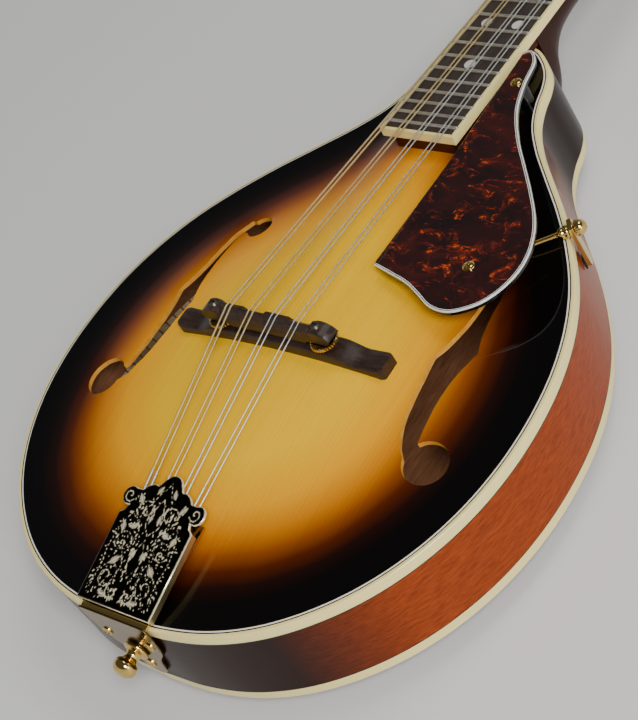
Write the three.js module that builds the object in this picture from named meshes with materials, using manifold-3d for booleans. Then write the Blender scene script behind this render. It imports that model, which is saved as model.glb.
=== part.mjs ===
// Arched-top teardrop mandolin with f-holes, raised pickguard and adjustable bridge.
// Millimetres. It lies on its back: +Z up, +Y from the tail to the headstock, +X the treble side.
// Inside the model z = 0 is the plane of the top binding and y = 0 is half a string length past
// fret 12. The root group then moves the whole instrument so that it stands on z = 0.
import * as THREE from 'three';
import { mergeVertices } from 'three/addons/utils/BufferGeometryUtils.js';
import Module from 'manifold-3d';

const wasm = await Module();
wasm.setup();

// ---------------------------------------------------------------- driving dimensions
const GAP = 0.3;               // clearance between touching pieces
const SCALE = 350;             // open string length that sets the fret positions
const BODY = [                 // half outline of the body: x, y from the tail to the neck
  [0, -152.7], [24, -151.5], [47.7, -146.5], [70, -136.6], [89.6, -122.2], [106, -104.4],
  [118.5, -83.8], [126.9, -61.6], [131.2, -38.5], [131.8, -15.4], [129.1, 7.4], [122.8, 29.3],
  [113.1, 49.9], [100.3, 68.7], [85.4, 86.4], [68.7, 103.6], [54.5, 118.5], [44.5, 132],
  [39.4, 144], [36.8, 154], [33, 162.5], [26, 170.5], [17, 176.5], [0, 178],
];
const CENTRE_Y = -15;          // middle of the arching
const DEPTH = 47.6;            // body depth at the edge, over both bindings
const ARCH = 13;               // height of the top arch, and of the back arch
const ARCH_CURVE = [[0, 1], [0.2, 0.925], [0.4, 0.725], [0.6, 0.43], [0.75, 0.185],
  [0.85, 0.055], [0.92, 0.01], [1, 0.015]];
const PLATE = 3.6;             // top and back plate thickness
const BIND_W = 2.6;            // binding width
const BIND_H = 5.3;            // binding height
const SIDE = 2.2;              // side thickness
const LINING_W = 6;
const LINING_H = 7;
const SEGMENTS = 56;           // steps round the body outline

const NECK_Y = 110;            // where the neck frame starts
const NECK_Z = 16.4;           // board surface there
const NECK_TILT = -4.68;       // degrees, falls towards the nut
const BOARD_T = 5;
const BOARD_HALF = 21.5;       // outer half width at NECK_Y, binding included
const BOARD_TAPER = -0.0277;
const BOARD_BIND = 1.6;
const BOARD_START = -5.4;
const FRETS = 20;
const NUT_Y = SCALE - NECK_Y;
const HEAD_TILT = -8.3;        // headstock angle against the neck, degrees
const HEAD_T = 14;
const HEAD_L = 138;
const POST_Y = [34, 58, 82, 106];
const POST_X = 18;
const GEAR_R = 6;
const WORM_R = 2.1;
const WORM_Z = -18.4;

const BRIDGE_Y = -13.5;
const FOOT_HALF = 61;
const STUD_X = 30.3;
const SADDLE_Z = 29.6;         // under the strings
const COURSES_SADDLE = [-20.2, -6.7, 6.7, 20.2];
const COURSES_NUT = [-10.8, -3.6, 3.6, 10.8];
const COURSES_TAIL = [-13.5, -4.6, 4.6, 13.5];
const STRING_R = [0.5, 0.42, 0.34, 0.3];

const TAIL_PIN_Z = -20;
const GUARD_T = 2.4;
const GUARD_TILT = -2.98;
const ROD_DIR = new THREE.Vector3(0.79, 0.613, 0).normalize();
const ROD_START = new THREE.Vector3(81.5, 62.3, 3.4);

// ---------------------------------------------------------------- materials
const M = (color, roughness, metalness = 0) =>
  new THREE.MeshStandardMaterial({ color, roughness, metalness });
const spruce = M(0xd98a1c, 0.12), mahogany = M(0x7c2f16, 0.2), cream = M(0xe9e2c2, 0.3);
const rosewood = M(0x3a2620, 0.5), gold = M(0xd4aa4f, 0.15, 1), steel = M(0xb8b8b4, 0.25, 1);
const pearl = M(0xe6e0cc, 0.2), shell = M(0x4a160e, 0.12), bare = M(0xb08a5c, 0.7);
const black = M(0x15100e, 0.25), bronze = M(0xc09a5a, 0.3, 1), bone = M(0xece4ce, 0.4);

// ---------------------------------------------------------------- solid helpers
function closed(geometry) {
  const g = geometry.clone();
  g.deleteAttribute('normal');
  g.deleteAttribute('uv');
  return mergeVertices(g, 1e-4);
}
function toSolid(geometry) {
  const g = closed(geometry);
  const triVerts = new Uint32Array(g.index.array);
  return new wasm.Manifold(new wasm.Mesh({
    numProp: 3, vertProperties: new Float32Array(g.attributes.position.array), triVerts,
  }));
}
function toGeometry(solid) {
  const mesh = solid.getMesh();
  const g = new THREE.BufferGeometry();
  g.setAttribute('position', new THREE.BufferAttribute(new Float32Array(mesh.vertProperties), 3));
  g.setIndex(new THREE.BufferAttribute(new Uint32Array(mesh.triVerts), 1));
  g.computeVertexNormals();
  return g;
}
function join(...parts) {
  return toGeometry(parts.map(toSolid).reduce((a, b) => a.add(b)));
}
function cut(base, ...tools) {
  return toGeometry(tools.map(toSolid).reduce((a, b) => a.subtract(b), toSolid(base)));
}
function keep(base, tool) {
  return toGeometry(toSolid(base).intersect(toSolid(tool)));
}
function box(x0, x1, y0, y1, z0, z1) {
  const g = new THREE.BoxGeometry(x1 - x0, y1 - y0, z1 - z0);
  return g.translate((x0 + x1) / 2, (y0 + y1) / 2, (z0 + z1) / 2);
}
function rod(r, from, to, sides = 16) {
  const axis = new THREE.Vector3().subVectors(to, from);
  const g = new THREE.CylinderGeometry(r, r, axis.length(), sides);
  g.applyQuaternion(new THREE.Quaternion().setFromUnitVectors(
    new THREE.Vector3(0, 1, 0), axis.clone().normalize()));
  return g.translate((from.x + to.x) / 2, (from.y + to.y) / 2, (from.z + to.z) / 2);
}
const V = (x, y, z) => new THREE.Vector3(x, y, z);
function prism(points, z0, z1, holes = []) {
  const shape = new THREE.Shape(points.map(([x, y]) => new THREE.Vector2(x, y)));
  holes.forEach((h) => shape.holes.push(new THREE.Path(h.map(([x, y]) => new THREE.Vector2(x, y)))));
  const g = new THREE.ExtrudeGeometry(shape, { depth: z1 - z0, bevelEnabled: false });
  return g.translate(0, 0, z0);
}
function lathe(profile, sides = 20) {       // profile: [radius, height], turned round +Y
  return new THREE.LatheGeometry(profile.map(([r, y]) => new THREE.Vector2(r, y)), sides);
}
// A closed skin through rings of equal length, capped at both ends by fans.
function skin(rings) {
  const n = rings[0].length, pos = [], idx = [];
  rings.forEach((ring) => ring.forEach((p) => pos.push(p.x, p.y, p.z)));
  for (let i = 0; i + 1 < rings.length; i++) {
    for (let j = 0; j < n; j++) {
      const a = i * n + j, b = i * n + (j + 1) % n, c = a + n, d = b + n;
      idx.push(a, b, d, a, d, c);
    }
  }
  [0, rings.length - 1].forEach((i) => {
    const mid = rings[i].reduce((s, p) => s.add(p), V(0, 0, 0)).multiplyScalar(1 / n);
    const m = pos.length / 3;
    pos.push(mid.x, mid.y, mid.z);
    for (let j = 0; j < n; j++) {
      const a = i * n + j, b = i * n + (j + 1) % n;
      if (i === 0) idx.push(m, b, a); else idx.push(m, a, b);
    }
  });
  const g = new THREE.BufferGeometry();
  g.setAttribute('position', new THREE.Float32BufferAttribute(pos, 3));
  g.setIndex(idx);
  if (toSolid(g).volume() < 0) {
    for (let i = 0; i < idx.length; i += 3) [idx[i + 1], idx[i + 2]] = [idx[i + 2], idx[i + 1]];
    g.setIndex(idx);
  }
  g.computeVertexNormals();
  return g;
}
// A round wire through a few points, mitred at each bend.
function wire(points, r, sides = 6) {
  const rings = points.map((p, i) => {
    const a = i > 0 ? V().subVectors(p, points[i - 1]).normalize() : null;
    const b = i + 1 < points.length ? V().subVectors(points[i + 1], p).normalize() : null;
    const t = (a && b ? a.clone().add(b) : a || b).clone().normalize();
    const side = V().crossVectors(t, V(0, 0, 1)).normalize();
    const up = V().crossVectors(side, t).normalize();
    return Array.from({ length: sides }, (_, k) => {
      const w = (2 * Math.PI * k) / sides;
      return p.clone().addScaledVector(side, r * Math.cos(w)).addScaledVector(up, r * Math.sin(w));
    });
  });
  return skin(rings);
}

// ---------------------------------------------------------------- body outline and arching
const half = new THREE.CatmullRomCurve3(BODY.map(([x, y]) => V(x, y, 0)), false, 'centripetal');
const right = half.getSpacedPoints(SEGMENTS / 2);
right[0].x = 0;
right[right.length - 1].x = 0;
const ringPts = right.concat(right.slice(1, -1).reverse().map((p) => V(-p.x, p.y, 0)));
function outline(inset) {
  const n = ringPts.length;
  return ringPts.map((p, i) => {
    const t = V().subVectors(ringPts[(i + 1) % n], ringPts[(i + n - 1) % n]).normalize();
    return [p.x - t.y * inset, p.y + t.x * inset];
  });
}
const archCurve = new THREE.CatmullRomCurve3(ARCH_CURVE.map(([t, h]) => V(t, h, 0)), false,
  'centripetal');
const archTable = archCurve.getPoints(120);
function archAt(t) {
  const i = archTable.findIndex((p) => p.x >= t);
  if (i <= 0) return archTable[i < 0 ? archTable.length - 1 : 0].y;
  const a = archTable[i - 1], b = archTable[i];
  return a.y + ((b.y - a.y) * (t - a.x)) / (b.x - a.x);
}
function edgeT(x, y) {                      // 0 at the middle of the body, 1 at its edge
  const ang = Math.atan2(x, y - CENTRE_Y), r = Math.hypot(x, y - CENTRE_Y);
  let best = 0, err = 9;
  ringPts.forEach((p, i) => {
    const e = Math.abs(Math.atan2(p.x, p.y - CENTRE_Y) - ang);
    if (e < err) { err = e; best = i; }
  });
  return r / Math.hypot(ringPts[best].x, ringPts[best].y - CENTRE_Y);
}
const topZ = (x, y) => ARCH * archAt(Math.min(1, edgeT(x, y)));

function archedPlate(sign) {                // sign +1 for the top, -1 for the back
  const edge = outline(BIND_W + GAP).map(([x, y]) => [x, y]);
  const steps = [0.95, 0.86, 0.72, 0.54, 0.3];
  const loop = (t, lift) => edge.map(([x, y]) =>
    V(x * t, CENTRE_Y + (y - CENTRE_Y) * t, sign * (ARCH * archAt(t) + lift)));
  const rings = [...steps].reverse().map((t) => loop(t, -PLATE));
  rings.push(loop(1, -PLATE), loop(1, 0));
  steps.forEach((t) => rings.push(loop(t, 0)));
  return skin(rings).translate(0, 0, sign > 0 ? 0 : -DEPTH);
}
function hoop(outer, inner, z0, z1) {
  return prism(outline(outer), z0, z1, [outline(inner).reverse()]);
}

// ---------------------------------------------------------------- the f-holes
const F_SHIFT = 2.5;                        // both holes stand this far to the treble side
const F_INNER = [[74.5, 43], [75.6, 36], [76, 27.5], [75.8, 19], [75, 12], [73.8, 6], [71.4, -1],
  [72.2, -6.5], [73.1, -12], [73.7, -18], [74.7, -24.5], [75.8, -31], [78, -38], [81, -44.5]];
const F_OUTER = [[87, -40], [85.8, -33], [85, -26], [84.6, -19], [84.7, -11.5], [85.6, -3.5],
  [88, 6.8], [85.8, 12.5], [83.9, 20], [82.6, 28], [81.6, 36], [79.2, 45], [75.2, 51.5]];
const F_LOW = [95.2, -47.3, 10.2], F_HIGH = [67.2, 47.8, 6.7];
function fHole(side) {
  const arc = ([cx, cy, r], n) => Array.from({ length: n }, (_, k) =>
    [cx + r * Math.cos((2 * Math.PI * k) / n), cy + r * Math.sin((2 * Math.PI * k) / n)]);
  const place = (pts) => {
    const q = pts.map(([x, y]) => [side * x + F_SHIFT, y]);
    return side < 0 ? q.reverse() : q;
  };
  const throat = [...F_OUTER, [70, 51.5], [70, 44], ...F_INNER, [86, -50], [90, -44]];
  return join(prism(place(throat), -9, 22), prism(place(arc(F_LOW, 22)), -9, 22),
    prism(place(arc(F_HIGH, 18)), -9, 22));
}

// ---------------------------------------------------------------- scene graph
const root = new THREE.Group();
const body = new THREE.Group();
root.add(body);
function add(parent, name, geometry, material) {
  const mesh = new THREE.Mesh(geometry, material);
  mesh.name = name;
  parent.add(mesh);
  return mesh;
}

// Body box: the two plates, the side hoop and the bindings.
add(body, 'top', cut(archedPlate(1), fHole(1), fHole(-1)), spruce);
add(body, 'back', archedPlate(-1), mahogany);
const pinHole = rod(4.6, V(0, -170, TAIL_PIN_Z), V(0, -100, TAIL_PIN_Z));
add(body, 'rim', cut(hoop(0, SIDE, BIND_H - DEPTH + GAP, -BIND_H - GAP), pinHole), mahogany);
add(body, 'top_binding', hoop(0, BIND_W, -BIND_H, 0), cream);
add(body, 'back_binding', hoop(0, BIND_W, -DEPTH, BIND_H - DEPTH), cream);
const liningIn = SIDE + GAP + LINING_W;
const liningTop = hoop(SIDE + GAP, liningIn, -BIND_H - GAP - LINING_H, -BIND_H - GAP);
const liningBack = hoop(SIDE + GAP, liningIn, BIND_H - DEPTH + GAP, BIND_H - DEPTH + GAP + LINING_H);
add(body, 'top_lining', liningTop, bare);
add(body, 'back_lining', liningBack, bare);
const inside = prism(outline(liningIn + GAP), -DEPTH + 6, -6);
add(body, 'neck_block', keep(inside, box(-30, 30, 128, 190, -DEPTH + 6.2, -6.2)), bare);
add(body, 'tail_block', cut(keep(inside, box(-32, 32, -170, -122, -DEPTH + 6.2, -6.2)), pinHole),
  bare);
function toneBar(side) {                    // a bar glued under the top beside the bridge foot
  const pts = [];
  for (let i = 0; i <= 12; i++) {
    const y = -95 + (170 * i) / 12;
    pts.push([y, topZ(side * 34, y) - PLATE - 1.2]);
  }
  const lower = [...pts].reverse().map(([y, z], i, a) =>
    [y, z - 2 - 7 * Math.sin((Math.PI * i) / (a.length - 1))]);
  const g = prism([...pts, ...lower], -3, 3);
  g.applyMatrix4(new THREE.Matrix4().makeBasis(V(0, 1, 0), V(0, 0, 1), V(1, 0, 0)));
  return g.translate(side * 36, 0, 0);
}
add(body, 'tone_bar_bass', toneBar(-1), bare);
add(body, 'tone_bar_treble', toneBar(1), bare);

// ---------------------------------------------------------------- neck frame
const neckFrame = new THREE.Group();
neckFrame.position.set(0, NECK_Y, NECK_Z);
neckFrame.rotation.x = THREE.MathUtils.degToRad(NECK_TILT);
body.add(neckFrame);
const headFrame = new THREE.Group();
headFrame.position.set(0, NUT_Y + 5, -BOARD_T - GAP);
headFrame.rotation.x = THREE.MathUtils.degToRad(HEAD_TILT);
neckFrame.add(headFrame);
root.updateMatrixWorld(true);

const boardHalf = (y) => BOARD_HALF + BOARD_TAPER * y;
const neckLocalZ = (y, worldZ) => worldZ - NECK_Z - y * Math.sin(neckFrame.rotation.x);
function boardPrism(inset, y0, y1, z0, z1) {
  const a = boardHalf(y0) - inset, b = boardHalf(y1) - inset;
  return prism([[-a, y0], [a, y0], [b, y1], [-b, y1]], z0, z1);
}
const fretY = (n) => SCALE * 2 ** (-n / 12) - NECK_Y;
const boardIn = BOARD_BIND + GAP;
const fretBars = Array.from({ length: FRETS }, (_, i) => {
  const y = fretY(i + 1);
  return boardPrism(boardIn + 0.2, y - 0.9, y + 0.9, -1, 0.9);
});
add(neckFrame, 'fretboard',
  join(boardPrism(boardIn, BOARD_START + boardIn, NUT_Y - GAP, -BOARD_T, 0), ...fretBars), rosewood);
add(neckFrame, 'fretboard_binding', cut(
  boardPrism(0, BOARD_START, NUT_Y - GAP, -BOARD_T, 0),
  boardPrism(BOARD_BIND, BOARD_START + BOARD_BIND, NUT_Y + 9, -BOARD_T - 1, 1)), cream);
const nutHalf = boardHalf(NUT_Y) - 0.3;
add(neckFrame, 'nut', box(-nutHalf, nutHalf, NUT_Y, NUT_Y + 4.6, -BOARD_T, 1.3), bone);

// Neck, heel, the extension under the board and the headstock in one piece of wood.
function dRing(y, halfW, zBottom, belly) {
  const pts = [V(halfW, y, -BOARD_T - GAP)];
  const n = 10, depth = -BOARD_T - GAP - zBottom;
  for (let i = 1; i < n; i++) {
    const w = (Math.PI * i) / n;
    const cx = Math.sign(Math.cos(w)) * Math.abs(Math.cos(w)) ** belly;
    pts.push(V(halfW * cx, y, -BOARD_T - GAP - depth * Math.sin(w) ** 0.85));
  }
  pts.push(V(-halfW, y, -BOARD_T - GAP));
  return pts;
}
const heelY = 178.9 - NECK_Y;
const lean = Math.tan(neckFrame.rotation.x);   // keeps the heel's foot upright against the body
const upright = (ring) => ring.map((p) => V(p.x, p.y + p.z * lean, p.z));
const neckSkin = skin([
  upright(dRing(heelY, 17.5, neckLocalZ(heelY, -46), 0.75)),
  upright(dRing(heelY + 6, 17.2, neckLocalZ(heelY + 6, -42), 0.8)),
  upright(dRing(heelY + 12, 17, -37, 0.9)),
  dRing(heelY + 21, 17, -27.5, 1),
  dRing(heelY + 32, 17, -23.4, 1),
  dRing(heelY + 60, 16.6, -22.2, 1),
  dRing(NUT_Y - 60, 15.8, -21.2, 1),
  dRing(NUT_Y - 14, 14.9, -20.4, 1),
  dRing(NUT_Y + 5, 14.6, -20, 0.9),
]);
const under = [];
for (let i = 0; i <= 8; i++) {
  const y = BOARD_START + 1.2 + ((heelY + 4 - BOARD_START) * i) / 8;
  under.push([y, neckLocalZ(y, topZ(0, Math.min(176, y + NECK_Y)) + 0.7)]);
}
const extension = prism([[under[0][0], -BOARD_T - GAP], ...under,
  [under[8][0], -BOARD_T - GAP]], -17, 17);
extension.applyMatrix4(new THREE.Matrix4().makeBasis(V(0, 1, 0), V(0, 0, 1), V(1, 0, 0)));
const headHalf = [[14.9, 0], [15.3, 4], [19, 13], [26.5, 20], [28.6, 27], [28, 60], [27.2, 118],
  [27.8, 124], [22, 127.5], [14, 131], [6, 137], [0, HEAD_L]];
const headShape = [...headHalf, ...headHalf.slice(0, -1).reverse().map(([x, y]) => [-x, y])];
const headBlank = prism(headShape, -HEAD_T, 0).applyMatrix4(headFrame.matrix);
const postHoles = [];
const slots = [];
[-1, 1].forEach((s) => POST_Y.forEach((y) => {
  postHoles.push(rod(3.6, V(s * POST_X, y, -30), V(s * POST_X, y, 10), 10)
    .applyMatrix4(headFrame.matrix));
}));
slots.push(box(-3.2, 3.2, 74, NUT_Y + 8, -12.5, 0));
slots.push(box(-5, 5, 2.5, 22, -9, 5).applyMatrix4(headFrame.matrix));
slots.push(box(-nutHalf - 3, nutHalf + 3, NUT_Y - 0.2, NUT_Y + 4.9, -BOARD_T - GAP, 5));
add(neckFrame, 'neck', cut(join(neckSkin, extension, headBlank), ...slots, ...postHoles), mahogany);
add(neckFrame, 'truss_rod', box(-2.6, 2.6, 76, NUT_Y + 4, -11.8, -6), steel);
const nutRod = lathe([[0, 0], [3.1, 0], [3.1, 9], [0, 9]], 6);
const trussNut = add(headFrame, 'truss_rod_nut', nutRod, gold);
trussNut.position.set(0, 5.5, -4.6);
const cover = [[-6.5, 1.2], [6.5, 1.2], [9.5, 8], [7, 18], [3, 24], [0, 29], [-3, 24], [-7, 18],
  [-9.5, 8]];
add(headFrame, 'truss_rod_cover', prism(cover, GAP, 2.3), black);

// ---------------------------------------------------------------- tuners
[['bass', -1], ['treble', 1]].forEach(([sideName, s]) => {
  const plateX = s * POST_X;
  const plateZ = -HEAD_T - GAP;
  const ears = [], bores = [];
  POST_Y.forEach((y) => {
    const wormY = y + GEAR_R + WORM_R + 0.4;
    [[-9.2, -7.4], [7, 9.2]].forEach(([a, b]) => {
      const x0 = Math.min(plateX + s * a, plateX + s * b), x1 = Math.max(plateX + s * a, plateX + s * b);
      ears.push(box(x0, x1, wormY - 2.8, wormY + 2.8, WORM_Z - 2.8, plateZ));
    });
    bores.push(rod(1.7, V(plateX - 14, wormY, WORM_Z), V(plateX + 14, wormY, WORM_Z), 8));
    bores.push(rod(3.6, V(plateX, y, -30), V(plateX, y, 10), 8));
  });
  const plate = box(plateX - 9.6, plateX + 9.6, POST_Y[0] - 10, POST_Y[3] + 14, plateZ - 1.2, plateZ);
  add(headFrame, `tuner_plate_${sideName}`, cut(join(plate, ...ears), ...bores), gold);
  POST_Y.forEach((y, i) => {
    const wormY = y + GEAR_R + WORM_R + 0.4;
    const post = lathe([[0, -20.4], [GEAR_R - 0.2, -20.4], [GEAR_R - 0.2, -16.4], [3.1, -16.4],
      [3.1, 14], [0, 14]], 10);
    post.rotateX(Math.PI / 2);
    add(headFrame, `tuner_post_${sideName}_${i + 1}`, post, gold).position.set(plateX, y, 0);
    const button = lathe([[0, -9], [1.25, -9], [1.25, -5.4], [WORM_R, -5.4], [WORM_R, 5.4],
      [1.25, 5.4], [1.25, 17.4], [5.4, 20.4], [6.3, 26.5], [0, 30.3]], 10);
    button.rotateZ(-s * Math.PI / 2);
    add(headFrame, `tuner_button_${sideName}_${i + 1}`, button, pearl)
      .position.set(plateX, wormY, WORM_Z);
  });
});

// ---------------------------------------------------------------- bridge
function bridgeFoot() {
  const pts = [], lower = [];
  for (let i = 0; i <= 16; i++) {
    const x = -FOOT_HALF + (2 * FOOT_HALF * i) / 16, a = Math.abs(x);
    lower.push([x, Math.max(topZ(x, BRIDGE_Y - 5.5), topZ(x, BRIDGE_Y + 5.5)) + GAP]);
    const base = topZ(x, BRIDGE_Y);
    const rise = a > 47 ? 3.2 + ((a - 47) / 14) * 2.6 : a > 39 ? 3.2 + ((47 - a) / 8) * 2.8 : 6;
    pts.push([x, base + rise]);
  }
  const g = prism([...lower, ...pts.reverse()], -5.5, 5.5);
  g.rotateX(Math.PI / 2);
  return g.translate(0, BRIDGE_Y, 0);
}
const footTop = topZ(STUD_X, BRIDGE_Y) + 6;
const WHEEL_Z = footTop + 1.9;
const studR = 1.7;
const studs = [-1, 1].map((s) => [s * STUD_X, BRIDGE_Y]);
add(body, 'bridge_base', cut(bridgeFoot(), ...studs.map(([x, y]) =>
  rod(studR + GAP, V(x, y, footTop - 4.5), V(x, y, footTop + 6)))), rosewood);
const wheelTop = WHEEL_Z + 1.8;
function saddle() {
  const lowerZ = wheelTop + GAP;
  const crest = [[-37, 0], [-38.2, -3], [-37.4, -6.5], [-34, -8]];
  const top = [];
  for (let i = 0; i <= 22; i++) {
    const x = -27.5 + (55 * i) / 22;
    top.push([x, SADDLE_Z - 0.6 * (Math.abs(x) / 27) ** 2]);
  }
  const ear = (s) => [[27.8, SADDLE_Z - 0.9], [31, SADDLE_Z - 0.4], [34.5, SADDLE_Z - 1],
    [37.6, SADDLE_Z - 3.6], [38, SADDLE_Z - 6], [36.4, lowerZ + 0.8], [34, lowerZ]]
    .map(([x, z]) => [s * x, z]);
  const loop = [...ear(-1).reverse(), ...top, ...ear(1), [22, lowerZ], [-22, lowerZ]];
  const g = prism(loop, -3.6, 3.6);
  g.rotateX(Math.PI / 2);
  return g.translate(0, BRIDGE_Y, 0);
}
const bevels = [-1, 1].map((s) => {           // the crest is thinned so that each string has an edge
  const wedge = [[s * 1.4, SADDLE_Z + 1], [s * 9, SADDLE_Z + 1], [s * 9, SADDLE_Z - 9],
    [s * 3.7, SADDLE_Z - 7]];
  const g = prism(s > 0 ? wedge.reverse() : wedge, -27, 27);
  g.applyMatrix4(new THREE.Matrix4().makeBasis(V(0, 1, 0), V(0, 0, 1), V(1, 0, 0)));
  return g.translate(0, BRIDGE_Y, 0);
});
add(body, 'bridge_saddle', cut(saddle(), ...bevels, ...studs.map(([x, y]) =>
  rod(studR + GAP, V(x, y, 0), V(x, y, 60), 12))), rosewood);
studs.forEach(([x, y], i) => {
  const name = i ? 'treble' : 'bass';
  add(body, `bridge_stud_${name}`, rod(studR, V(x, y, footTop - 4.2), V(x, y, SADDLE_Z + 0.3)), steel);
  const wheel = prism(Array.from({ length: 24 }, (_, k) => [6.6 * Math.cos((k * Math.PI) / 12),
    6.6 * Math.sin((k * Math.PI) / 12)]), 0, 1.8);
  add(body, `thumbwheel_${name}`, cut(wheel, rod(studR + GAP, V(0, 0, -3), V(0, 0, 5))), gold)
    .position.set(x, y, WHEEL_Z);
});

// ---------------------------------------------------------------- tailpiece and end pin
const BASE_TILT = THREE.MathUtils.degToRad(5.9);
const baseMatrix = new THREE.Matrix4().makeRotationX(BASE_TILT).setPosition(0, -151.4, 1);
const basePlate = box(-20, 20, -2.6, 47, 0, 1.2).applyMatrix4(baseMatrix);
const hooks = [];
COURSES_TAIL.forEach((c) => [-1, 1].forEach((s) => {
  hooks.push(box(c + s * 1.5 - 0.8, c + s * 1.5 + 0.8, 20, 21.8, 1, 4.2).applyMatrix4(baseMatrix));
}));
const flangeShape = [[-20, 2], [-20, -6], [-17, -17], [-10, -26], [-7, -35], [-3, -38.5],
  [3, -38.5], [7, -35], [10, -26], [17, -17], [20, -6], [20, 2]];
const flange = prism(flangeShape, 0, 1.1);
flange.rotateX(Math.PI / 2).translate(0, -153.05, 0);
add(body, 'tailpiece_base', cut(join(basePlate, ...hooks, flange), pinHole), gold);
const coverFrame = new THREE.Group();
coverFrame.position.set(0, -151, 5.4);
coverFrame.rotation.x = THREE.MathUtils.degToRad(11);
body.add(coverFrame);
const coverHalf = [[22, 0], [22, 39.6], [19.6, 41.2], [18.9, 43.2]];
for (let k = 0; k <= 8; k++) {
  const w = (-115 + (230 * k) / 8) * (Math.PI / 180);
  coverHalf.push([20 + 4.3 * Math.cos(w), 47.6 + 4.3 * Math.sin(w)]);
}
coverHalf.push([14.6, 51.6], [11.2, 54.6], [7.4, 55], [5.4, 57.8], [2.6, 60.6], [0, 61.2]);
const coverShape = [...coverHalf, ...coverHalf.slice(0, -1).reverse().map(([x, y]) => [-x, y])];
add(coverFrame, 'tailpiece_cover', join(prism(coverShape, -1, 0), box(21, 22, 0, 39.6, -3.9, -0.5),
  box(-22, -21, 0, 39.6, -3.9, -0.5)), gold);
const pin = lathe([[0, 0], [4, 0], [4, 22.4], [5.7, 22.6], [5.9, 24], [3.9, 25], [3, 27],
  [3.5, 28.6], [5, 30.2], [5.5, 32.4], [4.8, 34.4], [2.8, 35.8], [0, 36]], 14);
pin.rotateX(Math.PI);
add(body, 'end_pin', pin, gold).position.set(0, -131.9, TAIL_PIN_Z);

// ---------------------------------------------------------------- pickguard and its clamp
const guardFrame = new THREE.Group();
guardFrame.position.set(0, 140, 12.4);
guardFrame.rotation.x = THREE.MathUtils.degToRad(GUARD_TILT);
body.add(guardFrame);
guardFrame.updateMatrix();
const guardCorners = [[27.3, 29.5], [26.4, 93.5], [26, 102.3], [22.4, 163.2]];
const guardCurve = new THREE.CatmullRomCurve3([[22.4, 163.2], [26, 165], [32.1, 159], [35.7, 144.3],
  [40.5, 130.6], [45.6, 121.7], [53.9, 110.3], [65.8, 96.7], [77.3, 83.5], [87.6, 70.5],
  [93.7, 60], [97.4, 49.2], [98.1, 39.2], [95.8, 29.2], [90.9, 20.9], [84, 15.5], [78.7, 13.2],
  [72.5, 13], [66.6, 14.5], [58.1, 19], [49, 23.4], [38.5, 26.5], [27.3, 29.5]]
  .map(([x, y]) => V(x, y, 0)), false, 'centripetal');
const guardOutline = [...guardCorners, ...guardCurve.getPoints(66).slice(1, -1).map((p) => [p.x, p.y])]
  .map(([x, y]) => [x, y - 140]).reverse();
const screwSpots = [[31.2, 143.8 - 140], [73.7, 37.8 - 140]];
const screwBore = (r, z0, z1) => screwSpots.map(([x, y]) => rod(r, V(x, y, z0), V(x, y, z1), 12));
add(guardFrame, 'pickguard', cut(prism(guardOutline, -GUARD_T, 0), ...screwBore(1.8, -9, 9)), shell);
screwSpots.forEach(([x, y], i) => {
  const screw = lathe([[0, -7.6], [1.45, -7.6], [1.45, GAP], [2.7, GAP], [2.5, 1.1], [1.7, 1.5],
    [0, 1.6]], 10);
  screw.rotateX(Math.PI / 2);
  add(guardFrame, `pickguard_screw_${i ? 'body' : 'neck'}`, screw, gold).position.set(x, y, 0);
});
const postFoot = topZ(31.2, 143.8) + 0.5;
add(body, 'pickguard_post', cut(rod(4, V(31.2, 143.8, postFoot), V(31.2, 143.8, 9.2)),
  rod(2.1, V(31.2, 143.8, 3.9), V(31.2, 143.8, 12), 10)), black);
const strapShape = [[68.5, -105], [78, -107], [87, -78], [79, -75]];
const strap = cut(prism(strapShape, -GUARD_T - 1.8, -GUARD_T - GAP), ...screwBore(1.8, -9, 9))
  .applyMatrix4(guardFrame.matrix);
const legAt = ROD_START;
const leg = box(-1, 1, -3.6, 3.6, -1.4, 10.4);
leg.rotateZ(Math.atan2(ROD_DIR.y, ROD_DIR.x)).translate(legAt.x, legAt.y, legAt.z);
const rodEnd = legAt.clone().addScaledVector(ROD_DIR, 27);
add(body, 'pickguard_bracket', join(strap, leg, rod(1.3, legAt, rodEnd, 12)), gold);
const clampFrame = new THREE.Group();
clampFrame.position.copy(legAt).addScaledVector(ROD_DIR, 21.2);
clampFrame.rotation.z = Math.atan2(ROD_DIR.y, ROD_DIR.x);
body.add(clampFrame);
add(clampFrame, 'clamp', cut(join(box(-1.1, 1.1, -3.6, 3.6, -22, 3.4), box(-1.4, 0, -3.6, 3.6, -22, -17)),
  rod(1.65, V(-5, 0, 0), V(5, 0, 0), 12)), gold);
const clampNut = cut(lathe([[0, 0], [3.6, 0], [3.6, 1.6], [3, 3.4], [1.6, 4.6], [0, 5]], 12),
  rod(1.65, V(0, -1, 0), V(0, 5.6, 0), 12));
clampNut.rotateZ(-Math.PI / 2);
add(clampFrame, 'clamp_nut', clampNut, gold).position.set(1.1 + GAP, 0, 0);

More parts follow.
